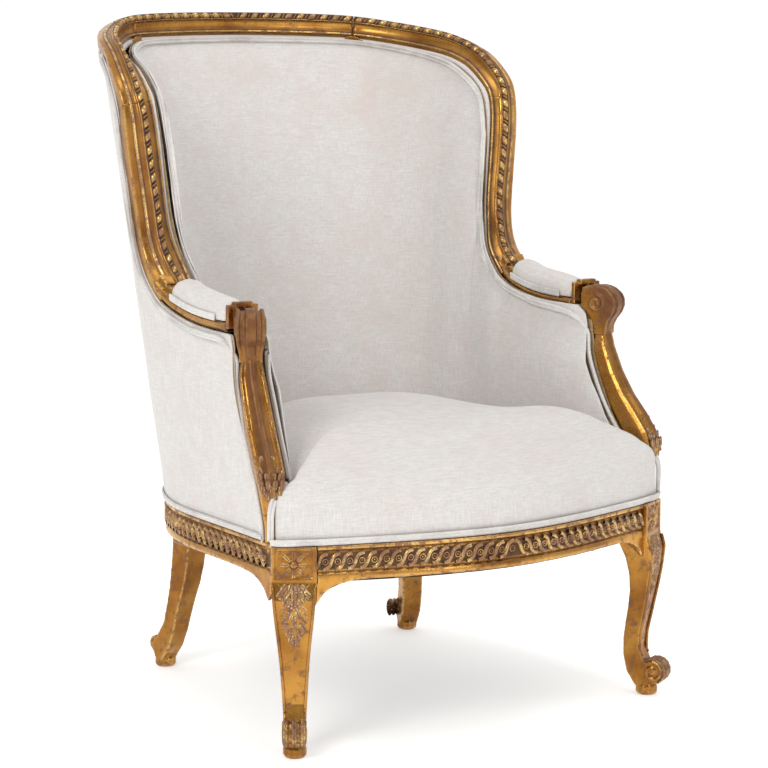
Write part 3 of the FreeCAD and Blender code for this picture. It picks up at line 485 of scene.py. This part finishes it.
def evenly(curve, first, last, pitch):
    """Numbers along a curve that lie one pitch apart, centred in the run."""
    ts = np.linspace(first, last, 900)
    line = np.array([curve(t) for t in ts])
    run = np.concatenate([[0], np.cumsum(np.linalg.norm(np.diff(line, axis=0), axis=1))])
    count = max(1, int(run[-1] / pitch))
    start = (run[-1] - count * pitch) / 2 + pitch / 2
    return np.interp([start + i * pitch for i in range(count)], run, ts)


def rope_unit(name, slant):
    broad = pillow(13.2, 10.5, 4.2, slant, at=-2.0)
    narrow = pillow(3.0, 10.0, 2.8, slant, at=8.2, dark=0.35, columns=3)
    return unit_of(name, *joined(broad, narrow))


rope_pitch, rope_slant = 20.5, 0.62
rope_places = []
for t in evenly(rope_line, 0.12, 12.98, rope_pitch):
    crown, along, inwards, outwards, back = rim_frame(t)
    bed = crown + inwards * 0.07 + outwards * 0.035
    out = unit(np.cross(along, unit(inwards - outwards)))
    rope_places.append((bed, along, out if np.dot(out, back) < 0 else -out, 1.0))
carve("rope_left", rope_unit("rope_turn", rope_slant), rope_places, bright_gilt)
rope_places_right = [(p * to_right, a * to_right, o * to_right, s) for p, a, o, s in rope_places]
carve("rope_right", rope_unit("rope_turn_right", -rope_slant), rope_places_right, bright_gilt)


# Wood worked over the frame's solids.
# Rails, legs and arm supports keep their cut form; a carver's scraper has eased the facets, wax lies in the hollows and
# the arrises are rubbed.

def taken(name, node):
    """A new piece with the form of one of the frame's solids."""
    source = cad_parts[node]
    mesh = source.data.copy()
    mesh.name = name
    mesh.transform(source.matrix_world)
    mesh.materials.clear()
    return linked(name, mesh)


def settled(piece, *steps):
    """Runs modifiers on a piece and keeps their result as its mesh."""
    for kind, values in steps:
        modifier = piece.modifiers.new(kind.lower(), kind)
        for key, value in values.items():
            setattr(modifier, key, value)
    bpy.context.view_layer.update()
    seen = bpy.context.evaluated_depsgraph_get()
    baked = bpy.data.meshes.new_from_object(piece.evaluated_get(seen), depsgraph=seen)
    piece.modifiers.clear()
    before = piece.data
    piece.data = baked
    bpy.data.meshes.remove(before)
    baked.name = piece.name
    baked.polygons.foreach_set("use_smooth", [True] * len(baked.polygons))
    return piece


def rounded(levels):
    return "SUBSURF", {"levels": levels, "render_levels": levels}


def remeshed(grain):
    return "REMESH", {"mode": "VOXEL", "voxel_size": grain * millimetre}


def smoothed(rounds):
    return "SMOOTH", {"factor": 0.5, "iterations": rounds}


def eased(piece, angle=0.5, crease=0.75):
    """Triangles paired to quads, and edges sharper than the angle kept crisp for the smoothing that follows."""
    work = bmesh.new()
    work.from_mesh(piece.data)
    bmesh.ops.remove_doubles(work, verts=work.verts, dist=1e-5)
    bmesh.ops.join_triangles(work, faces=work.faces, angle_face_threshold=0.4, angle_shape_threshold=3.0)
    layer = work.edges.layers.float.new("crease_edge")
    for edge in work.edges:
        if len(edge.link_faces) == 2 and edge.calc_face_angle() > angle:
            edge[layer] = crease
    work.to_mesh(piece.data)
    work.free()
    return piece


def vectors(items, field):
    values = np.zeros(len(items) * 3, np.float32)
    items.foreach_get(field, values)
    return values.reshape(-1, 3).astype(float)


def part_points(piece):
    """A piece's points in the part's own millimetres."""
    return vectors(piece.data.vertices, "co") / millimetre + (0, back_by, 0)


def move_points(piece, place):
    piece.data.vertices.foreach_set("co", ((place - (0, back_by, 0)) * millimetre).ravel())
    piece.data.update()
    return piece


def rising(value, start, run):
    """0 up to the start, 1 a run further."""
    return np.clip((value - start) / run, 0, 1)


def falling(value, end, run):
    """1 down to a run before the end, 0 from the end on."""
    return np.clip((end - value) / run, 0, 1)


def marked(piece, rounds=6, low=0.12, high=0.8, ground=None):
    """Marks hollows and arrises from the surface itself; ground is a band of heights that is dark all over."""
    mesh = piece.data
    count = len(mesh.vertices)
    place, normal = vectors(mesh.vertices, "co"), vectors(mesh.vertex_normals, "vector")
    ends = np.zeros(len(mesh.edges) * 2, np.int32)
    mesh.edges.foreach_get("vertices", ends)
    a, b = ends.reshape(-1, 2).T
    share = np.maximum(np.bincount(a, minlength=count) + np.bincount(b, minlength=count), 1)[:, None]
    mean = place
    for _ in range(rounds):
        around = [np.bincount(a, mean[b, k], count) + np.bincount(b, mean[a, k], count) for k in range(3)]
        mean = np.stack(around, 1) / share
    depth = ((mean - place) * normal).sum(1) / millimetre
    recess = rising(depth, low, high - low)
    if ground:
        height = place[:, 2] / millimetre
        in_band = (height > ground[0]) & (height < ground[1]) & (np.abs(normal[:, 2]) < 0.5)
        recess = np.where(in_band, 0.9, recess)
    mark_points(mesh, recess=recess, proud=rising(-depth, low, high - low))
    return piece


def clad(mesh, material):
    mesh.materials.clear()
    mesh.materials.append(material)


def worked_wood(node, material, grain, rounds, sweep=False, ground=None):
    """grain is the size in millimetres of the scraper's cut; a sweep has its bow rounded first."""
    piece = taken(node + "_carved", node)
    steps = [remeshed(grain), smoothed(rounds)]
    if sweep:
        eased(piece)
        steps.insert(0, rounded(2))
    settled(piece, *steps)
    marked(piece, ground=ground)
    clad(piece.data, material)
    return placed(piece, "gilt_wood", node)


# Height, then the middle of the arm support there (out, back)
support_line = np.array([
    (301, 328, -281), (328, 329, -283), (356, 331, -289), (386, 331.5, -290), (417, 327, -269), (450, 321, -244),
    (487, 316.5, -223), (524, 314, -207), (552, 313.5, -203.5), (600, 311, -197)])
support_turn = math.radians(28)
support_across = np.array([math.cos(support_turn), math.sin(support_turn), 0])
support_out = np.array([math.sin(support_turn), -math.cos(support_turn), 0])


def at_height(table, z):
    """The row of a table at a height, without the height itself."""
    return [np.interp(z, table[:, 0], table[:, k]) for k in range(1, table.shape[1])]


def drawn_in(piece):
    """The hand hold narrows at its foot so that it flows into the stick, and a little at its top."""
    neck_height, neck_spread, neck_share = 553, 17, 0.22
    top_height, top_front, top_share = 606, -178, 0.12
    place = part_points(piece)
    side, height = np.sign(place[:, 0]), place[:, 2]
    middle_x, middle_y = at_height(support_line, height)
    neck = np.exp(-((height - neck_height) / neck_spread) ** 2) * neck_share
    place[:, 0] -= side * (np.abs(place[:, 0]) - middle_x) * neck
    place[:, 1] -= (place[:, 1] - middle_y) * neck
    top = rising(height, top_height, 16) * (place[:, 1] < top_front) * top_share
    place[:, 0] -= side * (np.abs(place[:, 0]) - middle_x) * top
    return move_points(piece, place)


def handled(piece):
    """Marks where hands have worn an arm support brown: its front ridge and all of the hand hold's top and front."""
    x, y, z = part_points(piece).T
    middle_x, middle_y = at_height(support_line, z)
    offset = np.stack([np.abs(x) - middle_x, y - middle_y], 1)
    across, front = offset @ support_across[:2], offset @ support_out[:2]
    ridge_wear = falling(np.abs(across), 10, 3) * rising(front, 0, 4) * rising(z, 375, 15)
    grip_wear = rising(z, 535, 40) * rising(front + np.maximum(z - 600, 0), -2, 8)
    mark_points(piece.data, handled=np.maximum(ridge_wear, grip_wear))


band = (266.6, 290.4)
worked_wood("front_rail", bright_gilt, 1.5, 2, True, band)
worked_wood("back_rail", plain_gilt, 2.0, 2, True, band)
for side in ("left_", "right_"):
    worked_wood(side + "side_rail", bright_gilt, 1.6, 2, True, band)
    worked_wood(side + "front_leg", plain_gilt, 1.15, 10)
    worked_wood(side + "rear_leg", plain_gilt, 1.4, 8)
    handled(drawn_in(worked_wood(side + "arm_support", plain_gilt, 1.05, 11)))
    worked_wood(side + "arm_rail", plain_gilt, 1.3, 3)


# Guilloche on the seat rails.
# Running bands cross a sunk ground on a slant, with a ring and a bead between each pair; cut by gouge after the gesso.

edge_sink = 1.0  # how far the edge of a ridge or dome goes into the wood


def ridge(path, width, height, closed=False):
    """A rounded strip along a flat path."""
    path = np.array(path, float)
    count = len(path)
    points, recess, proud = [], [], []
    for i in range(count):
        after = path[(i + 1) % count] if closed else path[min(i + 1, count - 1)]
        before = path[i - 1] if closed else path[max(i - 1, 0)]
        way = unit(after - before)
        for v in (-1, -0.6, 0, 0.6, 1):
            x, y = path[i] + np.array([-way[1], way[0]]) * v * width / 2
            points.append((x, y, -edge_sink if abs(v) == 1 else height * (1 - 0.5 * v * v)))
            recess.append(0.9 if abs(v) == 1 else 0)
            proud.append(0 if abs(v) == 1 else 0.9)
    faces = ring_faces(count, 5, open_round=True, caps=False)
    if closed:
        faces += [((count - 1) * 5 + j, (count - 1) * 5 + j + 1, j + 1, j) for j in range(4)]
    return points, faces, recess, proud


def circle(radius, at, count):
    turns = [2 * math.pi * k / count for k in range(count)]
    return [(at[0] + radius * math.cos(turn), at[1] + radius * math.sin(turn)) for turn in turns]


def dome(radius, height, at=(0, 0)):
    points, recess, proud = [], [], []
    around = 10
    for share, rise in ((1, -edge_sink / height), (0.85, 0.45), (0.5, 0.86)):
        points += [(x, y, rise * height) for x, y in circle(radius * share, at, around)]
        recess += [0.9 if share == 1 else 0] * around
        proud += [0 if share == 1 else 0.9] * around
    faces = ring_faces(3, around, caps=False) + [tuple(range(2 * around, 3 * around))]
    return points, faces, recess, proud


guilloche_pitch = 17.6
ground_height, ground_sunk = 278.5, 3.0


def guilloche_unit(name, slant):
    waves = np.linspace(-1, 1, 9)
    path = [(slant * (12.0 * u - 2.0 * math.sin(math.pi * u)), 11.0 * math.sin(math.pi * u / 2)) for u in waves]
    between = (guilloche_pitch / 2, 0)
    return unit_of(name, *joined(
        ridge(path, 6.8, 3.2), ridge(circle(3.9, between, 14), 2.2, 3.0, closed=True), dome(1.7, 3.0, between)))


def rail_places(plan, first, last, mirror=1):
    places = []
    flip = np.array([mirror, 1, 1])
    for t in evenly(plan, first, last, guilloche_pitch):
        along = heading(plan, t)
        out = np.array([along[1], -along[0], 0.0])
        point = plan(t) - out * ground_sunk + (0, 0, ground_height)
        places.append((point * flip, along * flip * mirror, out * flip, 1.0))
    return places


front_half = [(96, -398, 0), (187, -373, 0), (262, -349, 0), (320, -329, 0)]
front_plan = through([(-x, y, z) for x, y, z in front_half[::-1]] + [(0, -408, 0)] + front_half)
side_half = [(336, -310, 0), (334, -217, 0), (333, -127, 0)] + [
    (332 * math.cos(math.radians(a)), -60 + 355 * math.sin(math.radians(a)), 0) for a in (5, 17, 27, 36, 46, 60, 75, 90)]
side_plan = through(side_half + [(-x, y, z) for x, y, z in side_half[-2::-1]])
rising_band, falling_band = guilloche_unit("guilloche_rising", 1), guilloche_unit("guilloche_falling", -1)
carve("guilloche_front_right", rising_band, rail_places(front_plan, 0.42, 4.0), tan_gilt)
carve("guilloche_front_left", falling_band, rail_places(front_plan, 4.0, 7.58), tan_gilt)
carve("guilloche_side_left", rising_band, rail_places(side_plan, 0.35, 6.8), tan_gilt)
carve("guilloche_side_right", falling_band, rail_places(side_plan, 0.35, 6.8, -1), tan_gilt)


# Leaves on the knees and feet.
# Overlapping gouge-cut leaflets hang below each die and lap over the scroll of the foot; their ridges are rubbed brown.

def leaflet(name, length, width, height):
    points, recess, proud = [], [], []
    for i in range(8):
        u = -1 + 2 * i / 7
        spread = (1 - u * u) ** 0.55 * (1 - 0.28 * u)
        for v in (-1, -0.62, -0.25, 0, 0.25, 0.62, 1):
            edge = abs(v) == 1 or i in (0, 7)
            rise = height * (0.45 + 0.55 * (1 + u) / 2) * (1 - 0.35 * v * v - (0.3 if v == 0 else 0))
            points.append((u * length / 2, v * spread * width / 2, -leaf_sink if edge else rise))
            recess.append(1.0 if edge else (0.8 if v == 0 else 0))
            proud.append(0 if edge or v == 0 else 0.8)
    return unit_of(name, points, ring_faces(8, 7, open_round=True, caps=False), recess, proud)


def leg_ways(turn):
    """Forwards and sideways of a leg that is turned on plan."""
    return np.array([math.cos(turn), math.sin(turn), 0.0]), np.array([-math.sin(turn), math.cos(turn), 0.0])


upright = np.array([0, 0, 1.0])
front_foot, front_turn = np.array([318, -327, 0.0]), math.radians(-58)
rear_foot, rear_turn = np.array([203, 189, 0.0]), math.radians(75)
# Height, then how far the front leg's ridge reaches forwards of its foot point there
front_outline = np.array([
    (50, -6), (68, -15), (94, -14.5), (127, -8), (170, 0), (196, 4), (229, 6.8), (251, 0)])


def knee_places(side, rows, spread, lift):
    """Leaflets down the front of a leg: rows are (height, half spread, how many)."""
    way, across = leg_ways(front_turn)
    flip = np.array([side, 1, 1])
    places = []
    for z, half, count in rows:
        reach, = at_height(front_outline, z)
        slope = at_height(front_outline, z - 3)[0] - at_height(front_outline, z + 3)[0]
        for u in np.linspace(-half, half, count):
            point = front_foot + upright * z + way * (reach + lift - 0.004 * u * u) + across * u
            down = unit(-6.0 * upright + way * slope + across * spread * u / 10)
            face = unit(way - down * np.dot(way, down) + across * u * 0.012)
            places.append((point * flip, down * flip, face * flip, 1.0))
    return places


def scroll_places(side, foot, turn, centre, radius, half):
    """Leaflets lapped over a foot's scroll; centre is forwards of the foot point and up."""
    way, across = leg_ways(turn)
    flip = np.array([side, 1, 1])
    middle = foot + way * centre[0] + upright * centre[1]
    places = []
    for k, angle in enumerate(np.linspace(math.radians(115), math.radians(-50), 8)):
        radial = way * math.cos(angle) + upright * math.sin(angle)
        down = way * math.sin(angle) - upright * math.cos(angle)
        for u in np.linspace(-half, half, 4 if k % 2 else 3):
            point = middle + radial * radius + across * u
            places.append((point * flip, unit(down + across * u * 0.01) * flip, radial * flip, 1.0))
    return places


knee_leaf, small_leaf = leaflet("knee_leaf", 17, 10.5, 3.0), leaflet("foot_leaf", 12, 8.5, 2.2)
knee_rows = [(243, 24, 6), (235, 20, 5), (226, 21, 5), (217, 17, 4), (208, 17, 4),
             (199, 13, 3), (190, 12, 3), (181, 8, 2), (172, 5, 2), (163, 0, 1)]
both_sides = ((1, "left"), (-1, "right"))
for side, label in both_sides:
    carve("knee_leaves_" + label, knee_leaf, knee_places(side, knee_rows, 3.2, -0.6), brown_gilt)
    places = scroll_places(side, front_foot, front_turn, (6, 38), 18.2, 12.5)
    carve("foot_leaves_" + label, small_leaf, places, brown_gilt)
    places = scroll_places(side, rear_foot, rear_turn, (50.6, 36), 14.0, 10.0)
    carve("rear_foot_leaves_" + label, small_leaf, places, brown_gilt)


# Beads on the front legs.
# A thin bead is left standing along each edge of a front leg, from the die down to the foot.

def cord_round(name, path, radius, material, slot, around=8):
    """A round bead, roll or cord along a path."""
    rings = []
    for i, point in enumerate(path):
        along = unit(path[min(i + 1, len(path) - 1)] - path[max(i - 1, 0)])
        first = unit(np.cross(along, (0.3, 0.5, 0.8)))
        second = np.cross(along, first)
        rings.append([point + radius * (first * math.cos(a) + second * math.sin(a))
                      for a in np.arange(around) * 2 * math.pi / around])
    return placed(shape(name, np.concatenate(rings), ring_faces(len(rings), around), material), slot)


# Height, then half the width of the front leg there
leg_edge = np.array([(50, 15), (95, 17.5), (134, 20), (174, 24), (209, 28), (247, 31)])
bead_in, bead_proud = 1.4, 0.9
front_way, front_across = leg_ways(front_turn)
for sign, edge in ((1, "near"), (-1, "far")):
    path = []
    for z in np.linspace(62, 246, 40):
        half = at_height(leg_edge, z)[0] - bead_in
        reach = at_height(front_outline, z)[0] + bead_proud
        path.append(front_foot + upright * z + front_way * reach + front_across * sign * half)
    for side, hand in both_sides:
        cord_round("front_leg_bead_" + edge + "_" + hand, [p * (side, 1, 1) for p in path], 2.3, tan_gilt, "gilt_wood")


# Rosettes on the dies and leaves on the arm supports.
# Eight long petals round a button in each sunk square, a dart in each corner, and a leaf at the foot of each ridge.

petal, dart = leaflet("petal", 17, 8, 3.0), leaflet("dart", 11, 6, 2.4)
button = unit_of("button", *dome(4.4, 4.4))
spine_leaf = leaflet("spine_leaf", 21, 11, 3.2)
petal_reach, corner_across, corner_up = 12.6, 21.5, 17.5
die_middle = front_foot + upright * 276.0 - front_way * 2.0
# Height, half spread, how many, and how far out of the support's middle
support_rows = ((404, 12, 3, 19), (396, 14, 4, 20), (387, 15, 4, 20), (379, 12, 3, 19), (372, 6, 2, 17), (418, 7, 2, 19))
for side, label in both_sides:
    flip = np.array([side, 1, 1])
    rays = [front_across * math.cos(a) + upright * math.sin(a) for a in np.arange(8) * math.pi / 4]
    places = [((die_middle + ray * petal_reach) * flip, -ray * flip, front_way * flip, 1.0) for ray in rays]
    carve("rosette_petals_" + label, petal, places, tan_gilt)
    corners = [die_middle + front_across * a * corner_across + upright * b * corner_up for a in (-1, 1) for b in (-1, 1)]
    places = [(p * flip, unit(die_middle - p) * flip, front_way * flip, 1.0) for p in corners]
    carve("corner_darts_" + label, dart, places, tan_gilt)
    carve("rosette_button_" + label, button, [(die_middle * flip, front_across * flip, front_way * flip, 1.0)], tan_gilt)
    places = []
    for z, half, count, reach in support_rows:
        centre = np.array([*at_height(support_line, z), z])
        lean = 0.25 if z > 390 else -0.45
        for u in np.linspace(-half, half, count):
            point = centre + support_out * (reach - 0.012 * u * u) + support_across * u
            down = unit(-upright - support_across * u * 0.02 + support_out * lean)
            places.append((point * flip, down * flip, unit(support_out + support_across * u * 0.03) * flip, 0.8))
    carve("support_leaves_" + label, spine_leaf, places, brown_gilt)


# Cloth finishes: worn off-white linen and the coarser cloths under it.
# Plain weave with thicker threads here and there, faint grey and pinkish soiling, greyer along the seams.

def cloth_group():
    group, given, result = shader_group("plain weave", [
        ("Thread", colour, (0.69, 0.675, 0.66, 1)), ("Shade", colour, (0.56, 0.54, 0.525, 1)),
        ("Stain", colour, (0.60, 0.50, 0.465, 1)), ("Coarseness", number, 1.0),
        ("Soiling", number, 0.35)], [("Color", colour), ("Normal", vector)])
    given = given.outputs
    where = add(group, "ShaderNodeTexCoord").outputs["Object"]
    size = sums(group, "DIVIDE", 1.0, given["Coarseness"])
    threads = []
    for stretch in ((1.0, 1.0, 0.07), (0.09, 0.09, 1.0)):
        laid = add(group, "ShaderNodeVectorMath", {0: where, 1: stretch}, operation="MULTIPLY").outputs[0]
        scaled = add(group, "ShaderNodeVectorMath", {0: laid, "Scale": size}, operation="SCALE").outputs[0]
        threads.append(clouds(group, scaled, 620.0, 2.0, 0.6))
    weave = sums(group, "ADD", *threads)
    broad = clouds(group, where, 7.0, 4.0, 0.6)
    blotch = clouds(group, where, 26.0, 5.0, 0.66, 0.4)
    tone = mixed(group, ramped(group, weave, 0.72, 1.28), given["Shade"], given["Thread"])
    soil = ramped(group, sums(group, "MULTIPLY_ADD", broad, 0.6, blotch), 0.72, 1.0)
    soil = sums(group, "MULTIPLY", soil, given["Soiling"])
    soil = sums(group, "MULTIPLY_ADD", stored(group, "recess"), 0.45, soil, clamp=True)
    relief = sums(group, "MULTIPLY_ADD", blotch, 0.8, weave)
    bump = add(group, "ShaderNodeBump", {"Strength": 0.35, "Distance": 0.0004, "Height": relief})
    group.links.new(mixed(group, soil, tone, given["Stain"]), result.inputs["Color"])
    group.links.new(bump.outputs[0], result.inputs["Normal"])
    return group


weave_group = cloth_group()


def woven(name, **own):
    return finish_from(weave_group, name, own, {"Roughness": 0.92, "Sheen Weight": 0.25})


linen = woven("off-white linen")
welt_linen = woven("welt linen", Thread=(0.72, 0.70, 0.68, 1), Shade=(0.57, 0.55, 0.53, 1),
                   Stain=(0.30, 0.265, 0.24, 1), Coarseness=0.8)
hessian = woven("jute hessian", Thread=(0.42, 0.30, 0.16, 1), Shade=(0.20, 0.135, 0.07, 1),
                Stain=(0.24, 0.16, 0.08, 1), Coarseness=2.6)
black_cotton = woven("black cotton", Thread=(0.03, 0.03, 0.032, 1), Shade=(0.012, 0.012, 0.013, 1),
                     Stain=(0.06, 0.055, 0.05, 1))
calico = woven("unbleached calico", Thread=(0.60, 0.53, 0.42, 1), Shade=(0.47, 0.41, 0.31, 1),
               Stain=(0.45, 0.36, 0.25, 1))


# Upholstery.
# Hair and wadding under linen, pulled tight to the rim and tacked; it swells between the edges and dimples where the
# tacks pull. Each piece follows the cover in the frame and gets the small unevenness of stuffing worked by hand.

def uneven(piece, amount, size):
    """Small hand-worked unevenness: each point moves along its normal by a smooth noise."""
    mesh = piece.data
    place, normal = vectors(mesh.vertices, "co"), vectors(mesh.vertex_normals, "vector")
    broad, fine = size * millimetre, size * 0.37 * millimetre
    shift = np.array([noise.noise(Vector(p) / broad) + 0.4 * noise.noise(Vector(p) / fine) for p in place])
    mesh.vertices.foreach_set("co", (place + normal * (shift * amount * millimetre)[:, None]).ravel())
    mesh.update()
    return piece


def soft_piece(name, node, material, slot, levels=2, amount=0.0, size=60, marks=(4, 0.1, 1.2), also=(), rounds=0):
    """amount and size are the height and the spread of the unevenness in millimetres."""
    piece = eased(taken(name, node), 0.7, 0.6)
    settled(piece, rounded(levels), smoothed(rounds))
    if amount:
        uneven(piece, amount, size)
    marked(piece, *marks)
    clad(piece.data, material)
    return placed(piece, slot, node, *also)


# Height, then the support's inner back arris (out, back) and its outer back arris (out, back)
support_arris = np.array([
    (301, 317, -277, 331, -268), (328, 317, -280, 333, -270), (356, 311, -284, 338, -270),
    (386, 304.5, -282, 340, -263), (417, 298.7, -260, 335.6, -240.6), (450, 294.5, -238, 331, -218),
    (487, 291.8, -219, 327, -200.5), (524, 291.4, -204, 324, -186), (552, 291.5, -200.5, 323.5, -183.5),
    (578, 287, -194, 328, -176)])


def to_support(piece):
    """The front edge of the inside cloth is drawn out and forward on to the arm support."""
    cloth_edge, reach, support_top, clear_of_back = 276, 70, 600, 200
    place = part_points(piece)
    x, y, z = np.abs(place[:, 0]), place[:, 1], place[:, 2]
    edge_x, edge_y, _, back_y = at_height(support_arris, z)
    near = rising(back_y + reach - y, 0, reach) ** 2 * (z < support_top) * (x > clear_of_back)
    place[:, 0] += np.sign(place[:, 0]) * near * (edge_x - cloth_edge)
    place[:, 1] -= near * (back_y - edge_y + 2)
    return move_points(piece, place)


def over_dies(piece):
    """The front corners of the seat are drawn out over the leg blocks, in front of the arm supports."""
    place = part_points(piece)
    x, y, z = np.abs(place[:, 0]), place[:, 1], place[:, 2]
    reach = np.clip(x - 285, 0, 31) * falling(z, 376, 20) * falling(y, -283, 8)
    lift = np.clip(x - 255, 0, 60) * falling(y, -255, 25) * rising(z, 318, 40)
    place[:, 2] += lift * 0.36
    place[:, 0] += np.sign(place[:, 0]) * reach * 0.72
    place[:, 1] += reach * 0.28
    return move_points(piece, place)


def filled_out(piece):
    """The seat is stuffed out until it presses on the inside of the arms and the back."""
    middle_y, swell = -90, 27
    place = part_points(piece)
    x, y, z = place.T
    reach = np.hypot(x, y - middle_y)
    amount = swell * rising(y, -290, 45) * rising(z, 332, 26) * rising(reach, 80, 100) / np.maximum(reach, 1)
    place += np.stack([x * amount, (y - middle_y) * amount, 0 * z], 1)
    return settled(move_points(piece, place), smoothed(40))


inside = soft_piece("inside_upholstery", "inside_cover", linen, "linen", 2, 0.9, 55, also=("inside_padding",))
to_support(inside)
seat = soft_piece("seat_upholstery", "seat_cover", linen, "linen", 3, 1.0, 80, also=("seat_padding",), rounds=60)
over_dies(filled_out(seat))
for side in ("left_", "right_"):
    pad = taken(side + "arm_cushion", side + "arm_pad")
    settled(pad, remeshed(2.4), smoothed(10))
    uneven(pad, 0.7, 34)
    marked(pad)
    clad(pad.data, linen)
    placed(pad, "linen", side + "arm_pad")


# Edge roll and double cords.
# A thin roll of wadding in linen fills the inside edge of the rim; pairs of piping cords, glued down over the tacks,
# follow the arm supports and turn the front corners of the seat.

roll_half = []
for t in np.linspace(0.1, crest_middle, 150):
    crown, _, inwards, _, back = rim_frame(t)
    roll_half.append(crown + inwards + unit(inwards) * 3.0 + unit(back) * 6.5)
cord_round("inside_edge_roll", roll_half + [p * to_right for p in roll_half[-2::-1]], 5.2, linen, "linen", 10)


def double_cord(name, points, apart, spread):
    """Two piping cords side by side along a path; apart is the way from one to the other."""
    line = through(points)
    path = [line(t) for t in np.linspace(0, len(points) - 1, 60)]
    for side, hand in both_sides:
        for step, place in ((-1, "_inner_"), (1, "_outer_")):
            turned = [(p + unit(apart) * spread * step) * (side, 1, 1) for p in path]
            cord_round(name + place + hand, turned, 2.7, welt_linen, "welt")


rail_level = 570  # the cords leave the arm rail for the support below this height
inner_front = [(266, -66, 588), (266, -110, 584), (268, -158, 580), (276, -184, 570)] + [
    (x - 7.5, y + 2, z) for z, x, y, _, _ in support_arris[:2:-1] if z < rail_level]
outer_front = [(339, -66, 580), (338, -115, 576), (336, -158, 573)] + [
    (x + 2, y + 4, z) for z, _, _, x, y in support_arris[::-1] if z < rail_level]
seat_corner = [
    (342, -305, 308), (342.5, -306, 335), (340, -306, 358), (331, -304, 371), (318, -298, 378), (304, -288, 383)]
double_cord("inside_front_welt", inner_front, (0.1, 1, 0.9), 3.3)
double_cord("outside_front_welt", outer_front, (0, 1, 0.8), 3.3)
double_cord("seat_corner_welt", seat_corner, (-0.7, -0.4, -0.45), 2.5)


# Outside cloth, lining, hessian, webbing and dust cloth.
# Each is cut flat, stretched over the frame and tacked; the welts are glued over the tacks.

def stretched(name, node, material, slot, levels=1, amount=0.5):
    """width is the cut between selvedges, in metres; the cut is 2% longer than the cloth for its tacked ends."""
    piece = soft_piece(name, node, material, slot, levels, amount, 80)
    return piece


stretched("outside_linen", "outside_cover", linen, "linen",
          2, 0.8)
stretched("outside_calico", "outside_lining", calico, "lining")
to_support(stretched("inside_jute", "inside_hessian", hessian, "hessian"))
stretched("seat_jute", "seat_hessian", hessian, "hessian")
stretched("black_dust_cloth", "dust_cloth", black_cotton, "dust_cloth")
welts = {place: soft_piece(place.removesuffix("_pad") + "_double_welt", place + "_welt", welt_linen, "welt",
                           marks=(3, 0.05, 0.45))
         for place in ("inside", "outside", "foot", "seat", "left_arm_pad", "right_arm_pad")}
over_dies(welts["seat"])


# Hidden timber, steel and straps keep their solids and get their own finishes.
# Plain sawn beech, drawn wire and dull screws, and woven jute straps.

def plain(name, low, high, roughness, metallic, stretch, scale):
    """Two tones in a streaked noise; stretch lays the streaks along the grain."""
    material, tree, shader = new_material(name, {"Roughness": roughness, "Metallic": metallic})
    where = add(tree, "ShaderNodeTexCoord").outputs["Object"]
    laid = add(tree, "ShaderNodeVectorMath", {0: where, 1: stretch}, operation="MULTIPLY").outputs[0]
    grain = clouds(tree, laid, scale, 5.0, 0.6)
    bump = add(tree, "ShaderNodeBump", {"Strength": 0.15, "Distance": 0.0004, "Height": grain})
    tree.links.new(mixed(tree, ramped(tree, grain, 0.35, 0.65), low, high), shader.inputs["Base Color"])
    tree.links.new(bump.outputs[0], shader.inputs["Normal"])
    return material


beech = plain("sawn beech", (0.42, 0.27, 0.14, 1), (0.60, 0.42, 0.25, 1), 0.72, 0.0, (6, 6, 1), 40)
wire = plain("drawn steel", (0.16, 0.15, 0.145, 1), (0.30, 0.29, 0.28, 1), 0.42, 0.9, (1, 1, 1), 90)
finishes = {"spring": wire, "screw": wire, "webbing": hessian}
for name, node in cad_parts.items():
    chosen = [finish for word, finish in finishes.items() if word in name]
    clad(node.data, chosen[0] if chosen else beech)


bpy.context.view_layer.update()
